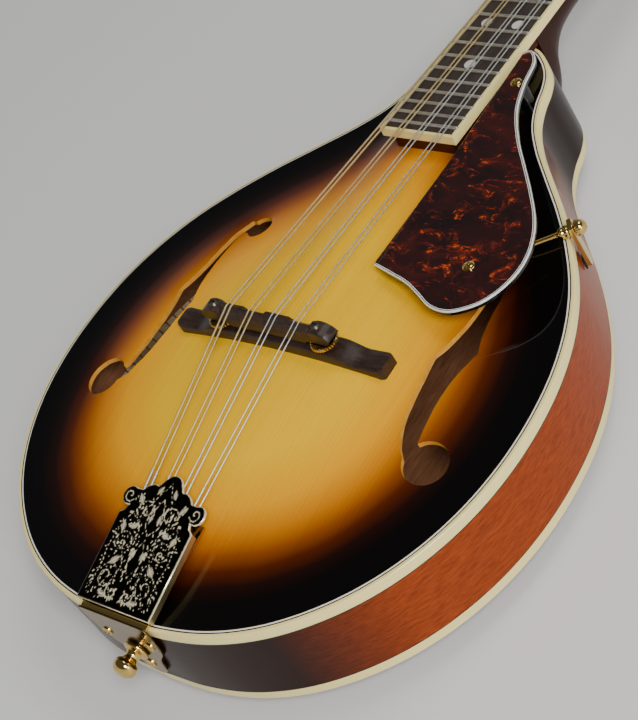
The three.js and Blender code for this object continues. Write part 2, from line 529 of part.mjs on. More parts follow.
// ---------------------------------------------------------------- strings
root.updateMatrixWorld(true);
const baseLocal = V();
['g', 'd', 'a', 'e'].forEach((letter, c) => [-1, 1].forEach((s, k) => {
  const r = STRING_R[c];
  const side = c < 2 ? -1 : 1;
  const index = c < 2 ? c * 2 + k : (3 - c) * 2 + (1 - k);
  const tail = V(COURSES_TAIL[c] + s * 1.5, 22.2, 2.6 + r).applyMatrix4(baseMatrix);
  const saddlePt = V(COURSES_SADDLE[c] + s * 1.35, BRIDGE_Y, SADDLE_Z + GAP + 0.35 + r);
  const nutPt = neckFrame.localToWorld(V(COURSES_NUT[c] + s * 1.05, NUT_Y + 2.3, 1.3 + GAP + r));
  const postPt = headFrame.localToWorld(V(side * (POST_X - 3.1 - r - GAP), POST_Y[index] - 1, 7));
  const endPt = headFrame.localToWorld(V(side * (POST_X - 3.1 - r - GAP), POST_Y[index] + 1, 7));
  add(body, `string_${letter}${k + 1}`, wire([tail, saddlePt, nutPt, postPt, endPt], r),
    c < 2 ? bronze : steel);
}));

// ---------------------------------------------------------------- stand it on z = 0
root.updateMatrixWorld(true);
const bounds = new THREE.Box3().setFromObject(root, true);
body.position.set(0, -(bounds.min.y + bounds.max.y) / 2, -bounds.min.z);
root.updateMatrixWorld(true);

export default root;
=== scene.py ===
"""Arched-top mandolin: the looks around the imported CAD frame. Model units are millimetres in the
instrument's own frame (z = 0 is the top binding plane), turned into the frame's metres by W()."""
from math import atan2, cos, pi, radians, sin, tan

import bpy
import bmesh
import numpy as np
from mathutils import Matrix, Vector
from mathutils.geometry import delaunay_2d_cdt


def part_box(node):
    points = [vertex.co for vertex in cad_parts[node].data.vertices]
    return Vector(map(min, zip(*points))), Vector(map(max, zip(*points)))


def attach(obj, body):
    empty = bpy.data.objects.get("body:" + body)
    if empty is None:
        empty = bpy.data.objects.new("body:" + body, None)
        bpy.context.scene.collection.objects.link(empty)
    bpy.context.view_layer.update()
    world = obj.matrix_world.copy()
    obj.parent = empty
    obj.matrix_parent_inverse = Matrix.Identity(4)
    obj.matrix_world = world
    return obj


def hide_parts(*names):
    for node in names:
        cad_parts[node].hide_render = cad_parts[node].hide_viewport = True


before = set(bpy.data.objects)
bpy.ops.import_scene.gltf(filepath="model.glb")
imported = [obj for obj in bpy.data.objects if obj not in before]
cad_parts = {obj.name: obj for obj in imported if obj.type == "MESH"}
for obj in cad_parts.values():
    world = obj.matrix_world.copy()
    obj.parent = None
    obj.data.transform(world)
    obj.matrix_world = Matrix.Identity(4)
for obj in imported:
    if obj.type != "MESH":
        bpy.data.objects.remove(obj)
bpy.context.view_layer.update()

# ---- place in the frame
OFF_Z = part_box("top_binding")[1][2] * 1000
TAIL_Y = -152.7
OFF_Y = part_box("rim")[0][1] * 1000 - TAIL_Y
MAIN = "instrument"

# ---- camera first
CAM_AT = (600.5, -340.8, 578.6)
CAM_FORWARD = (-0.6614, 0.3707, -0.6520)
CAM_UP = (-0.1747, 0.7693, 0.6146)
CAM_LENS = 103.3
scene = bpy.context.scene


def W(p):
    """Millimetres in the instrument's frame to metres in the part's frame."""
    a = np.asarray(p, float)
    return (a + np.array([0.0, OFF_Y, OFF_Z])) / 1000.0


def place_camera():
    data = bpy.data.cameras.new("camera")
    data.lens = CAM_LENS
    data.sensor_width = 36
    data.clip_end = 50
    cam = bpy.data.objects.new("camera", data)
    scene.collection.objects.link(cam)
    forward = Vector(CAM_FORWARD).normalized()
    side = forward.cross(Vector(CAM_UP)).normalized()
    up = side.cross(forward).normalized()
    turn = Matrix((side, up, -forward)).transposed().to_4x4()
    cam.matrix_world = Matrix.Translation(Vector(W(CAM_AT))) @ turn
    scene.camera = cam


place_camera()

# ---- dimensions shared with the CAD
BODY = [(0, TAIL_Y), (24, -151.5), (47.7, -146.5), (70, -136.6), (89.6, -122.2), (106, -104.4),
        (118.5, -83.8), (126.9, -61.6), (131.2, -38.5), (131.8, -15.4), (129.1, 7.4), (122.8, 29.3),
        (113.1, 49.9), (100.3, 68.7), (85.4, 86.4), (68.7, 103.6), (54.5, 118.5), (44.5, 132),
        (39.4, 144), (36.8, 154), (33, 162.5), (26, 170.5), (17, 176.5), (0, 178)]
CENTRE_Y = -15.0
DEPTH = 47.6
ARCH = 13.0
BACK_ARCH = 0.848             # share of the top's arch that the back has
ARCH_CURVE = [(0, 1), (0.2, 0.925), (0.4, 0.725), (0.6, 0.43), (0.75, 0.185), (0.85, 0.055),
        (0.92, 0.01), (1, 0.015)]
TOP_T, BACK_T, SIDE_T = 2.3, 3.6, 2.2
BIND_H = 5.3
BIND_IN, LINE_IN, PURF = 1.7, 2.25, 2.9    # insets of the cream, black and white edge
LINING_IN = 7.6
SEAM = 0.3
NECK_Y, NECK_Z, NECK_TILT = 110.0, 16.4, radians(-4.68)
HEAD_TILT = radians(-8.3)
SCALE = 350.0
NUT_Y = SCALE - NECK_Y
BOARD_T, BOARD_HALF, BOARD_TAPER, BOARD_BIND, BOARD_START = 5.0, 21.5, -0.0277, 1.6, -5.4
BRIDGE_Y, STUD_X, SADDLE_Z, FOOT_HALF = -13.5, 30.3, 29.6, 61.0
HEAD_T = 14.0
POST_Y, POST_X = (34, 58, 82, 106), 18.0
WORM_Z, WORM_AHEAD = -18.4, 8.5
GUARD_Y, GUARD_T = 140, 2.4
COURSES_SADDLE = (-20.2, -6.7, 6.7, 20.2)
COURSES_NUT = (-10.8, -3.6, 3.6, 10.8)
COURSES_TAIL = (-13.5, -4.6, 4.6, 13.5)
PAIR_SADDLE, PAIR_NUT, PAIR_TAIL = 1.35, 1.05, 1.5    # half the gap of two strings of a pair
STRING_R = (0.5, 0.42, 0.34, 0.3)
F_SHIFT = 2.5


# ---- curves
def catmull(points, n, closed=False):
    """Centripetal Catmull-Rom through points, resampled evenly to n points."""
    p = [np.array(q, float) for q in points]
    if closed:
        p = [p[-1]] + p + [p[0], p[1]]
    else:
        p = [2 * p[0] - p[1]] + p + [2 * p[-1] - p[-2]]
    out = []
    for i in range(1, len(p) - 2):
        p0, p1, p2, p3 = p[i - 1:i + 3]
        spans = ((p0, p1), (p1, p2), (p2, p3))
        d0, d1, d2 = (max(np.linalg.norm(b - a), 1e-9) ** 0.5 for a, b in spans)
        m1 = (p1 - p0) / d0 - (p2 - p0) / (d0 + d1) + (p2 - p1) / d1
        m2 = (p2 - p1) / d1 - (p3 - p1) / (d1 + d2) + (p3 - p2) / d2
        m1, m2 = m1 * d1, m2 * d1
        for u in np.linspace(0, 1, 24, endpoint=False):
            out.append((2 * u**3 - 3 * u**2 + 1) * p1 + (u**3 - 2 * u**2 + u) * m1
                    + (3 * u**2 - 2 * u**3) * p2 + (u**3 - u**2) * m2)
    out.append(p[-2])
    out = np.array(out)
    s = np.concatenate([[0], np.cumsum(np.linalg.norm(np.diff(out, axis=0), axis=1))])
    at = np.linspace(0, s[-1], n, endpoint=not closed)
    return np.stack([np.interp(at, s, out[:, k]) for k in range(out.shape[1])], 1)


HALF = catmull(BODY, 261)
HALF[0, 0] = HALF[-1, 0] = 0.0
RING = np.vstack([HALF, HALF[-2:0:-1] * [-1, 1]])


def inward(ring, passes=6):
    """Unit vectors that point into a closed ring, smoothed along it."""
    t = np.roll(ring, -1, 0) - np.roll(ring, 1, 0)
    t /= np.linalg.norm(t, axis=1)[:, None]
    for _ in range(passes):
        t = t * 0.5 + (np.roll(t, -1, 0) + np.roll(t, 1, 0)) * 0.25
    t /= np.linalg.norm(t, axis=1)[:, None]
    return np.stack([-t[:, 1], t[:, 0]], 1)


RING_IN = inward(RING)


def outline(inset):
    return RING + RING_IN * inset


def edge_t(xy, inset):
    """0 at the middle of the body, 1 on the outline moved in by inset."""
    o = outline(inset) - [0, CENTRE_Y]
    ang, rad = np.arctan2(o[:, 0], o[:, 1]), np.hypot(o[:, 0], o[:, 1])
    order = np.argsort(ang)
    q = xy - [0, CENTRE_Y]
    a, r = np.arctan2(q[:, 0], q[:, 1]), np.hypot(q[:, 0], q[:, 1])
    return r / np.interp(a, ang[order], rad[order], period=2 * pi)


ARCH_TABLE = catmull(ARCH_CURVE, 400)


def arch(xy):
    t = np.clip(edge_t(np.atleast_2d(np.asarray(xy, float)), PURF), 0, 1)
    return ARCH * np.interp(t, ARCH_TABLE[:, 0], ARCH_TABLE[:, 1])


def arch1(x, y):
    return float(arch([(x, y)])[0])


# ---- frames of the neck and headstock
def rot_x(a):
    return np.array([[1, 0, 0], [0, cos(a), -sin(a)], [0, sin(a), cos(a)]])


def in_body(p):
    return np.asarray(p, float)


def tilted(angle, y, z):
    """A frame turned about X and set down at (0, y, z)."""
    return lambda p: np.asarray(p, float) @ rot_x(angle).T + [0, y, z]


in_neck = tilted(NECK_TILT, NECK_Y, NECK_Z)
off_neck = tilted(HEAD_TILT, NUT_Y + 5, -BOARD_T - SEAM)
in_guard = tilted(radians(-2.98), GUARD_Y, 12.4)
in_cover = tilted(radians(11), -151, 5.4)
in_base = tilted(radians(5.9), -151.4, 1)


def in_head(p):
    return in_neck(off_neck(p))


# ---- object helpers
def add(name, part, material, body=MAIN, at=in_body, cad=None, angle=35, bevel=0.0,
        segments=2, attrs=None):
    """One piece from (points, faces), riding on a body and standing for the node cad."""
    verts, faces = part
    me = bpy.data.meshes.new(name)
    me.from_pydata([tuple(v) for v in W(at(verts))], [], [tuple(f) for f in faces])
    me.validate()
    me.update()
    bm = bmesh.new()
    bm.from_mesh(me)
    bmesh.ops.recalc_face_normals(bm, faces=bm.faces)
    bm.to_mesh(me)
    bm.free()
    for key, values in (attrs or {}).items():
        values = np.full(len(me.vertices), values, np.float32)
        me.attributes.new(key, "FLOAT", "POINT").data.foreach_set("value", values)
    me.shade_smooth()
    me.set_sharp_from_angle(angle=radians(angle))
    me.materials.append(material)
    ob = bpy.data.objects.new(name, me)
    scene.collection.objects.link(ob)
    if bevel:
        mod = ob.modifiers.new("edge", "BEVEL")
        mod.width = bevel / 1000
        mod.segments = segments
        mod.limit_method = "ANGLE"
        mod.angle_limit = radians(40)
        mod.harden_normals = True
    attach(ob, body)
    if cad:
        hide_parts(cad)
    return ob


def loops(rings, cap=True, closed_path=False):
    """Faces and points of a skin through rings of equal length."""
    n = len(rings[0])
    verts = np.vstack(rings)
    faces = []
    count = len(rings)
    for i in range(count if closed_path else count - 1):
        a0, b0 = i * n, ((i + 1) % count) * n
        for j in range(n):
            k = (j + 1) % n
            faces.append((a0 + j, a0 + k, b0 + k, b0 + j))
    if cap and not closed_path:
        faces.append(tuple(range(n - 1, -1, -1)))
        faces.append(tuple(range((count - 1) * n, count * n)))
    return verts, faces


def around(n):
    return np.linspace(0, 2 * pi, n, endpoint=False)


def xyz(x, y, z):
    """Points from three coordinates, each one number or many."""
    return np.column_stack(np.broadcast_arrays(x, y, z))


def polar(r, w, z):
    return xyz(r * np.cos(w), r * np.sin(w), z)


def across(section, xs):
    """A solid with one section of (y, z) from one x to the next."""
    return loops([np.array([(x, y, z) for y, z in section]) for x in xs])


def sweep(profile):
    """A closed profile of (inset, z) carried round the body's outline."""
    rings = [np.column_stack([outline(i), np.full(len(RING), z)]) for i, z in profile]
    return loops(rings, closed_path=True)


def prism(points, z0, z1):
    p = np.asarray(points, float)
    return loops([np.column_stack([p, np.full(len(p), z)]) for z in (z0, z1)])


def lathe(profile, sides=32, axis="y"):
    """profile is (radius, height); the ends close on the axis."""
    w = around(sides)
    radii = [(max(r, 1e-3), h) for r, h in profile]
    v, f = loops([xyz(r * np.cos(w), h, r * np.sin(w)) for r, h in radii])
    if axis == "z":
        v = xyz(v[:, 0], -v[:, 2], v[:, 1])
    if axis == "x":
        v = xyz(v[:, 1], v[:, 0], -v[:, 2])
    return v, f


def tube(path, r, sides=10):
    p = np.asarray(path, float)
    t = np.gradient(p, axis=0)
    t /= np.linalg.norm(t, axis=1)[:, None]
    s = np.cross(t, [0, 0, 1.0])
    s /= np.maximum(np.linalg.norm(s, axis=1), 1e-9)[:, None]
    u = np.cross(s, t)
    rr = np.broadcast_to(r, len(p))
    w = around(sides)
    c, d = np.cos(w)[:, None], np.sin(w)[:, None]
    return loops([p[i] + rr[i] * (c * s[i] + d * u[i]) for i in range(len(p))])


def merge(*parts):
    verts, faces, base = [], [], 0
    for v, f in parts:
        verts.append(v)
        faces += [tuple(i + base for i in q) for q in f]
        base += len(v)
    return np.vstack(verts), faces


def shift(part, d):
    return part[0] + np.asarray(d, float), part[1]


def box(x0, x1, y0, y1, z0, z1):
    return prism([(x0, y0), (x1, y0), (x1, y1), (x0, y1)], z0, z1)


def circle(cx, cy, r, n):
    w = around(n)
    return np.column_stack([cx + r * np.cos(w), cy + r * np.sin(w)])


# ---- materials
class Nodes:
    def __init__(self, name, color, rough, metal=0.0, coat=0.0, coat_rough=0.03, spec=0.35):
        self.mat = bpy.data.materials.new(name)
        self.mat.use_nodes = True
        self.tree = self.mat.node_tree
        self.shader = self.tree.nodes["Principled BSDF"]
        values = {"Base Color": (*color, 1), "Roughness": rough, "Metallic": metal, "Coat Weight": coat,
                  "Coat Roughness": coat_rough, "IOR": 1.5, "Specular IOR Level": spec}
        for key, value in values.items():
            self.shader.inputs[key].default_value = value
        self.mat.diffuse_color = (*color, 1)

    def new(self, kind, **sets):
        n = self.tree.nodes.new("ShaderNode" + kind)
        for key, value in sets.items():
            if key in n.inputs:
                n.inputs[key].default_value = value
            else:
                setattr(n, key, value)
        return n

    def link(self, a, b):
        self.tree.links.new(a, b)

    def coords(self, scale=(1, 1, 1)):
        tc = self.new("TexCoord")
        mp = self.new("Mapping", Scale=scale)
        self.link(tc.outputs["Object"], mp.inputs["Vector"])
        return mp.outputs["Vector"]

    def noise(self, vector, scale, detail=3.0, rough=0.5, distortion=0.0):
        n = self.new("TexNoise", Scale=scale, Detail=detail, Roughness=rough, Distortion=distortion)
        self.link(vector, n.inputs["Vector"])
        return n.outputs["Fac"]

    def ramp(self, fac, stops):
        r = self.new("ValToRGB")
        e = r.color_ramp.elements
        while len(e) < len(stops):
            e.new(0.5)
        for el, (pos, col) in zip(e, stops):
            el.position = pos
            el.color = (*col, 1) if len(col) == 3 else col
        self.link(fac, r.inputs["Fac"])
        return r.outputs["Color"]

    def feed(self, sockets, values):
        for socket, value in zip(sockets, values):
            if isinstance(value, (int, float)):
                socket.default_value = value
            elif isinstance(value, tuple):
                socket.default_value = (*value, 1)
            else:
                self.link(value, socket)

    def mix(self, fac, a, b, blend="MIX"):
        m = self.new("Mix", data_type="RGBA", blend_type=blend)
        self.feed((m.inputs[0], m.inputs[6], m.inputs[7]), (fac, a, b))
        return m.outputs[2]

    def math(self, op, a, b=0.0):
        m = self.new("Math", operation=op)
        self.feed(m.inputs, (a, b))
        return m.outputs[0]

    def attribute(self, name):
        return self.new("Attribute", attribute_name=name).outputs["Fac"]

    def bump(self, height, strength=0.2, distance=0.0002):
        b = self.new("Bump", Strength=strength, Distance=distance)
        self.link(height, b.inputs["Height"])
        self.link(b.outputs["Normal"], self.shader.inputs["Normal"])

    def color(self, socket):
        self.link(socket, self.shader.inputs["Base Color"])

    def rough(self, fac, low, high):
        m = self.new("MapRange", **{"To Min": low, "To Max": high})
        self.link(fac, m.inputs["Value"])
        self.link(m.outputs["Result"], self.shader.inputs["Roughness"])


def srgb(r, g, b):
    return tuple(((c / 255 + 0.055) / 1.055) ** 2.4 if c > 10 else c / 255 / 12.92 for c in (r, g, b))


def sunburst():
    m = Nodes("sunburst_spruce", srgb(240, 190, 20), 0.45, coat=0.42, coat_rough=0.03, spec=0.05)
    wobble = m.noise(m.coords((6, 2, 6)), 4, 2)
    d = m.math("ADD", m.attribute("edge_mm"), m.math("MULTIPLY", m.math("SUBTRACT", wobble, 0.5), 5.0))
    fac = m.math("DIVIDE", d, 80.0)
    burst = m.ramp(fac, [(0.0, srgb(4, 3, 3)), (0.17, srgb(6, 3, 3)), (0.26, srgb(30, 8, 3)),
            (0.35, srgb(80, 29, 2)), (0.44, srgb(142, 70, 0)),
            (0.56, srgb(208, 126, 0)), (0.72, srgb(247, 170, 0)), (1.0, srgb(255, 197, 0))])
    grain = m.new("TexWave", wave_type="BANDS", bands_direction="X", Scale=160, Distortion=5.0, Detail=3,
                  **{"Detail Scale": 0.8})
    m.link(m.coords((1, 0.02, 0.2)), grain.inputs["Vector"])
    fine = m.noise(m.coords((900, 9, 60)), 1.0, 4, 0.6)
    pores = m.ramp(grain.outputs["Fac"], [(0.0, (0.80, 0.74, 0.66)), (0.35, (0.97, 0.96, 0.94)),
            (1, (1, 1, 1))])
    fibre = m.ramp(fine, [(0.3, (0.86, 0.82, 0.76)), (0.6, (1, 1, 1))])
    col = m.mix(0.2, burst, pores, "MULTIPLY")
    col = m.mix(0.5, col, fibre, "MULTIPLY")
    m.color(col)
    return m.mat


def mahogany(name):
    m = Nodes(name, srgb(150, 64, 25), 0.42, coat=0.16, coat_rough=0.08, spec=0.08)
    fibre = m.noise(m.coords((16, 16, 190)), 9, 6, 0.7, 0.4)
    pore = m.noise(m.coords((60, 60, 900)), 3, 2, 0.6)
    col = m.ramp(fibre, [(0.25, srgb(104, 36, 7)), (0.5, srgb(142, 56, 10)), (0.75, srgb(170, 76, 18))])
    specks = m.ramp(pore, [(0.36, (0.45, 0.35, 0.3)), (0.5, (1, 1, 1))])
    col = m.mix(0.6, col, specks, "MULTIPLY")
    # The shade attribute darkens the mahogany toward near black: the back's burst, darker ends of the
    # sides, the dark neck, and painted shade on the neck extension under the fretboard.
    m.color(m.mix(m.attribute("shade"), col, srgb(12, 7, 6)))
    m.rough(fibre, 0.22, 0.42)
    return m.mat


def plain_wood(name, light, dark, rough, scale, pores=0.5):
    m = Nodes(name, light, rough)
    v = m.coords(scale)
    a = m.noise(v, 18, 5, 0.65, 0.6)
    b = m.noise(m.coords(tuple(s * 9 for s in scale)), 8, 3, 0.7)
    col = m.ramp(a, [(0.3, dark), (0.7, light)])
    col = m.mix(pores, col, m.ramp(b, [(0.35, (0.35, 0.3, 0.28)), (0.55, (1, 1, 1))]), "MULTIPLY")
    m.color(col)
    m.bump(b, 0.25, 0.0001)
    m.rough(a, max(rough - 0.1, 0.05), rough + 0.12)
    return m.mat


def plastic(name, color, rough=0.18, coat=0.4, vary=0.05, yellow=(0.9, 0.84, 0.7)):
    m = Nodes(name, color, rough, coat=coat)
    n = m.noise(m.coords(), 35, 4, 0.6)
    col = m.mix(m.math("MULTIPLY", n, vary * 4), color, tuple(c * y for c, y in zip(color, yellow)))
    m.color(col)
    m.rough(n, rough * 0.8, rough * 1.5)
    return m.mat


def metal(name, color, rough):
    m = Nodes(name, color, rough, metal=1.0)
    n = m.noise(m.coords(), 60, 4, 0.6)
    m.color(m.mix(n, color, tuple(c * 0.82 for c in color)))
    m.rough(n, rough * 0.6, rough * 1.6)
    return m.mat


def painted_glint_gold():
    m = Nodes("engraved_gold_painted_glints", srgb(222, 190, 112), 0.14, metal=1.0)
    relief = m.attribute("relief")
    n = m.noise(m.coords(), 700, 3, 0.6)
    f = m.math("ADD", relief, m.math("MULTIPLY", m.math("SUBTRACT", n, 0.5), 0.3))
    # Dark ground: painted reflection of dark surroundings on the gold; light engraved lines: painted
    # highlights.
    m.color(m.ramp(f, [(0.34, srgb(22, 17, 11)), (0.6, srgb(250, 238, 200))]))
    # Less metallic where the painted highlights are, so they stay bright.
    m.link(m.math("SUBTRACT", 1.0, m.math("MULTIPLY", f, 0.7)), m.shader.inputs["Metallic"])
    m.rough(relief, 0.34, 0.1)
    return m.mat


def tortoise():
    m = Nodes("tortoiseshell", srgb(70, 20, 16), 0.12, coat=1.0, coat_rough=0.02)
    base = m.coords((1, 1.5, 1))
    warp = m.noise(base, 34, 3, 0.6, 1.0)
    big = m.noise(base, 80, 6, 0.74, 1.1)
    small = m.noise(base, 210, 4, 0.7, 0.8)
    clouds = m.ramp(warp, [(0.35, srgb(22, 4, 5)), (0.55, srgb(46, 9, 7)), (0.75, srgb(72, 17, 9))])
    red = m.ramp(big, [(0.53, (0, 0, 0)), (0.6, (0.4, 0.4, 0.4)), (0.7, (1, 1, 1))])
    col = m.mix(red, clouds, srgb(136, 38, 12))
    hot = m.ramp(m.math("MULTIPLY", big, m.math("ADD", small, 0.5)), [(0.62, (0, 0, 0)), (0.7, (1, 1, 1))])
    m.color(m.mix(hot, col, srgb(214, 84, 20)))
    return m.mat


def wound(name, color):
    m = Nodes(name, color, 0.36, metal=1.0)
    w = m.new("TexWave", wave_type="BANDS", bands_direction="Y", Scale=1100, Distortion=0)
    m.link(m.coords(), w.inputs["Vector"])
    # Darker colour in the grooves between the windings: painted shade.
    m.color(m.mix(w.outputs["Fac"], tuple(c * 0.7 for c in color), color))
    m.bump(w.outputs["Fac"], 0.25, 0.00004)
    return m.mat


SPRUCE = sunburst()
SIDES = mahogany("mahogany_sides")
BACKWOOD = mahogany("mahogany_back")
NECKWOOD = mahogany("mahogany_neck")
CREAM = plastic("cream_binding", srgb(246, 228, 152), 0.3, 0.2)
WHITE = plastic("white_line", srgb(236, 236, 230), 0.2, 0.5, 0.02)
BLACK = plastic("black_line", srgb(8, 7, 7), 0.2, 0.35, 0.02)
# Lining and inner wood: their own raw wood colours, made lighter to stand in for light inside the body, so
# partly painted light.
BARE = plain_wood("bare_lining", srgb(232, 208, 164), srgb(206, 176, 130), 0.8, (20, 20, 90), pores=0.2)
INNER = plain_wood("inner_wood", srgb(176, 122, 84), srgb(134, 84, 54), 0.85, (30, 4, 30), pores=0.25)
ROSE = plain_wood("rosewood", srgb(70, 52, 44), srgb(26, 18, 16), 0.4, (5, 30, 30))
BOARDWOOD = plain_wood("rosewood_board", srgb(74, 62, 55), srgb(38, 30, 27), 0.42, (26, 3, 26))
GOLD = metal("gold_plate", srgb(222, 190, 112), 0.1)
# Darker copy of the gold, used on the tail flange: painted dark reflection.
GOLD_PAINTED_DARK_REFLECTION = metal("gold_shaded", srgb(128, 104, 60), 0.14)
SATIN = metal("gold_satin", srgb(236, 214, 150), 0.34)
NICKEL = metal("nickel_silver", srgb(222, 218, 206), 0.38)
STEEL = metal("steel", srgb(186, 184, 180), 0.2)
DARK_STEEL = metal("dark_steel", srgb(112, 108, 102), 0.4)
PEARL = plastic("pearl", srgb(214, 210, 200), 0.12, 0.8, 0.12, (0.75, 0.85, 0.95))
SHELL = tortoise()
PAINTED_GLINT_GOLD = painted_glint_gold()
WOUND = wound("wound_string", srgb(238, 214, 160))
PLAIN = metal("plain_string", srgb(224, 222, 214), 0.36)
BONE = plastic("bone_nut", srgb(228, 218, 190), 0.3, 0.2)
CUTWOOD = plain_wood("cut_spruce", srgb(236, 172, 70), srgb(206, 132, 40), 0.6, (10, 10, 10), pores=0.1)


# ---- flat regions cut to shape
def inside(pts, poly):
    x, y = pts[:, 0], pts[:, 1]
    hit = np.zeros(len(pts), bool)
    a, b = poly, np.roll(poly, -1, 0)
    for (x0, y0), (x1, y1) in zip(a, b):
        if y0 != y1:
            c = (y0 > y) != (y1 > y)
            hit ^= c & (x < (x1 - x0) * (y - y0) / (y1 - y0) + x0)
    return hit


def edge_gap(pts, poly):
    best = np.full(len(pts), 1e9)
    for a, b in zip(poly, np.roll(poly, -1, 0)):
        d = b - a
        u = np.clip(((pts - a) @ d) / max(d @ d, 1e-12), 0, 1)
        best = np.minimum(best, np.hypot(*(pts - a - u[:, None] * d).T))
    return best


def sheet(outer, step, holes=(), keep_off=0.45):
    """Points and triangles of a flat region with holes. The grid inside keeps off the edges."""
    lo, hi = outer.min(0), outer.max(0)
    gx, gy = np.meshgrid(*(np.arange(lo[k] + step / 3, hi[k], step) for k in (0, 1)))
    gx[1::2] += step / 2
    grid = np.column_stack([gx.ravel(), gy.ravel()])
    grid = grid[inside(grid, outer)]
    grid = grid[edge_gap(grid, outer) > step * keep_off]
    for h in holes:
        near = (np.abs(grid - h.mean(0)) < np.ptp(h, axis=0) / 2 + 3 * step).all(1)
        bad = np.zeros(len(grid), bool)
        bad[near] = inside(grid[near], h) | (edge_gap(grid[near], h) < step * keep_off)
        grid = grid[~bad]
    pts, edges = [], []
    for loop in (outer, *holes):
        n0 = len(pts)
        pts += [tuple(p) for p in loop]
        edges += [(n0 + i, n0 + (i + 1) % len(loop)) for i in range(len(loop))]
    pts += [tuple(p) for p in grid]
    v, _, tris, *_ = delaunay_2d_cdt([Vector(p) for p in pts], edges, [], 0, 1e-5)
    v = np.array([tuple(p) for p in v])
    tris = np.array([t for t in tris if len(t) == 3])
    mid = v[tris].mean(1)
    ok = inside(mid, outer)
    for h in holes:
        ok &= ~inside(mid, h)
    tris = tris[ok]
    used, back = np.unique(tris, return_inverse=True)
    return v[used], back.reshape(-1, 3)


def slab(v2, tris, z_top, z_low):
    """A closed plate from a flat region, with its own height field above and below."""
    n = len(v2)
    verts = np.vstack([np.column_stack([v2, z_top]), np.column_stack([v2, z_low])])
    edges = {}
    for a, b, c in tris:
        for e in ((a, b), (b, c), (c, a)):
            edges[e] = True
    rim = [e for e in edges if (e[1], e[0]) not in edges]
    faces = [tuple(t) for t in tris] + [(c + n, b + n, a + n) for a, b, c in tris]
    faces += [(b, a, a + n, b + n) for a, b in rim]
    return verts, faces, len(tris)


# ---- the f-holes
F_INNER = [(74.5, 43), (75.6, 36), (76, 27.5), (75.8, 19), (75, 12), (73.8, 6), (71.4, -1),
        (72.2, -6.5), (73.1, -12), (73.7, -18), (74.7, -24.5), (75.8, -31), (78, -38), (81, -44.5)]
F_OUTER = [(87, -40), (85.8, -33), (85, -26), (84.6, -19), (84.7, -11.5), (85.6, -3.5), (88, 6.8),
        (85.8, 12.5), (83.9, 20), (82.6, 28), (81.6, 36), (79.2, 45), (75.2, 51.5)]
F_LOW, F_HIGH = (95.2, -47.3, 10.2), (67.2, 47.8, 6.7)


def side_curve(points, corner):
    return np.vstack([catmull(points[:corner + 1], 26), catmull(points[corner:], 26)[1:]])


def f_hole(s):
    throat = np.vstack([side_curve(F_OUTER, 6), [(70, 51.5), (70, 44)], side_curve(F_INNER, 6),
            [(86, -50), (90, -44)]])
    out = []
    for p in (throat, circle(*F_LOW, 40), circle(*F_HIGH, 32)):
        q = p * [s, 1] + [F_SHIFT, 0]
        out.append(q[::s])
    return out


PLATE_EDGE = outline(PURF)


def second_material(ob, material, first, last=None):
    """Gives the faces from first up to last another material than the rest."""
    ob.data.materials.append(material)
    idx = np.zeros(len(ob.data.polygons), np.int32)
    idx[first:last] = 1
    ob.data.polygons.foreach_set("material_index", idx)


def relax(z, tris, weight, passes=10, share=0.6):
    """Smooths the heights z over the triangles, each point by its weight."""
    neighbours = [[] for _ in z]
    for a, b, c in tris:
        neighbours[a] += [b, c]
        neighbours[b] += [a, c]
        neighbours[c] += [a, b]
    here = np.concatenate([np.full(len(q), i) for i, q in enumerate(neighbours)])
    there = np.concatenate(neighbours)
    count = np.bincount(here, minlength=len(z))
    for _ in range(passes):
        mean = np.bincount(here, z[there], len(z)) / count
        z = z + (mean - z) * share * weight
    return z


def top_plate():
    v2, tris = sheet(PLATE_EDGE, 2.2, f_hole(1) + f_hole(-1))
    gap = edge_gap(v2, PLATE_EDGE)
    z = relax(arch(v2), tris, np.clip(gap / 8, 0, 1))
    verts, faces, n_top = slab(v2, tris, z, z - TOP_T)
    wider_burst = 3.5 * np.clip(v2[:, 0] / 90, 0, 1)
    ob = add("top_plate", (verts, faces), SPRUCE, cad="top", angle=50,
            attrs={"edge_mm": np.tile(gap + PURF - wider_burst, 2)})
    second_material(ob, CUTWOOD, n_top * 2)


def back_plate():
    v2, tris = sheet(PLATE_EDGE, 3.0)
    z = -DEPTH - arch(v2) * BACK_ARCH
    shade = 1 - np.clip((edge_gap(v2, PLATE_EDGE) - 4) / 34, 0, 1) ** 0.7
    verts, faces, n_inner = slab(v2, tris, z + BACK_T, z)
    ob = add("back_plate", (verts, faces), BACKWOOD, cad="back", angle=50,
            attrs={"shade": np.tile(shade * 0.92, 2)})
    second_material(ob, INNER, 0, n_inner)


top_plate()
back_plate()


# ---- sides, bindings, lines, linings
def side_wall():
    z_low = BIND_H - DEPTH
    wall = [(0, -BIND_H), (0, -20), (0, -34), (0, z_low), (SIDE_T, z_low), (SIDE_T, -BIND_H)]
    y = RING[:, 1]
    dark = np.clip((-98 - y) / 38, 0, 1) * 0.95 + np.clip((y - 92) / 42, 0, 1) * 0.97
    ob = add("side_wall", sweep(wall), SIDES, cad="rim", attrs={"shade": np.tile(dark, len(wall))})
    second_material(ob, INNER, 4 * len(RING), 5 * len(RING))


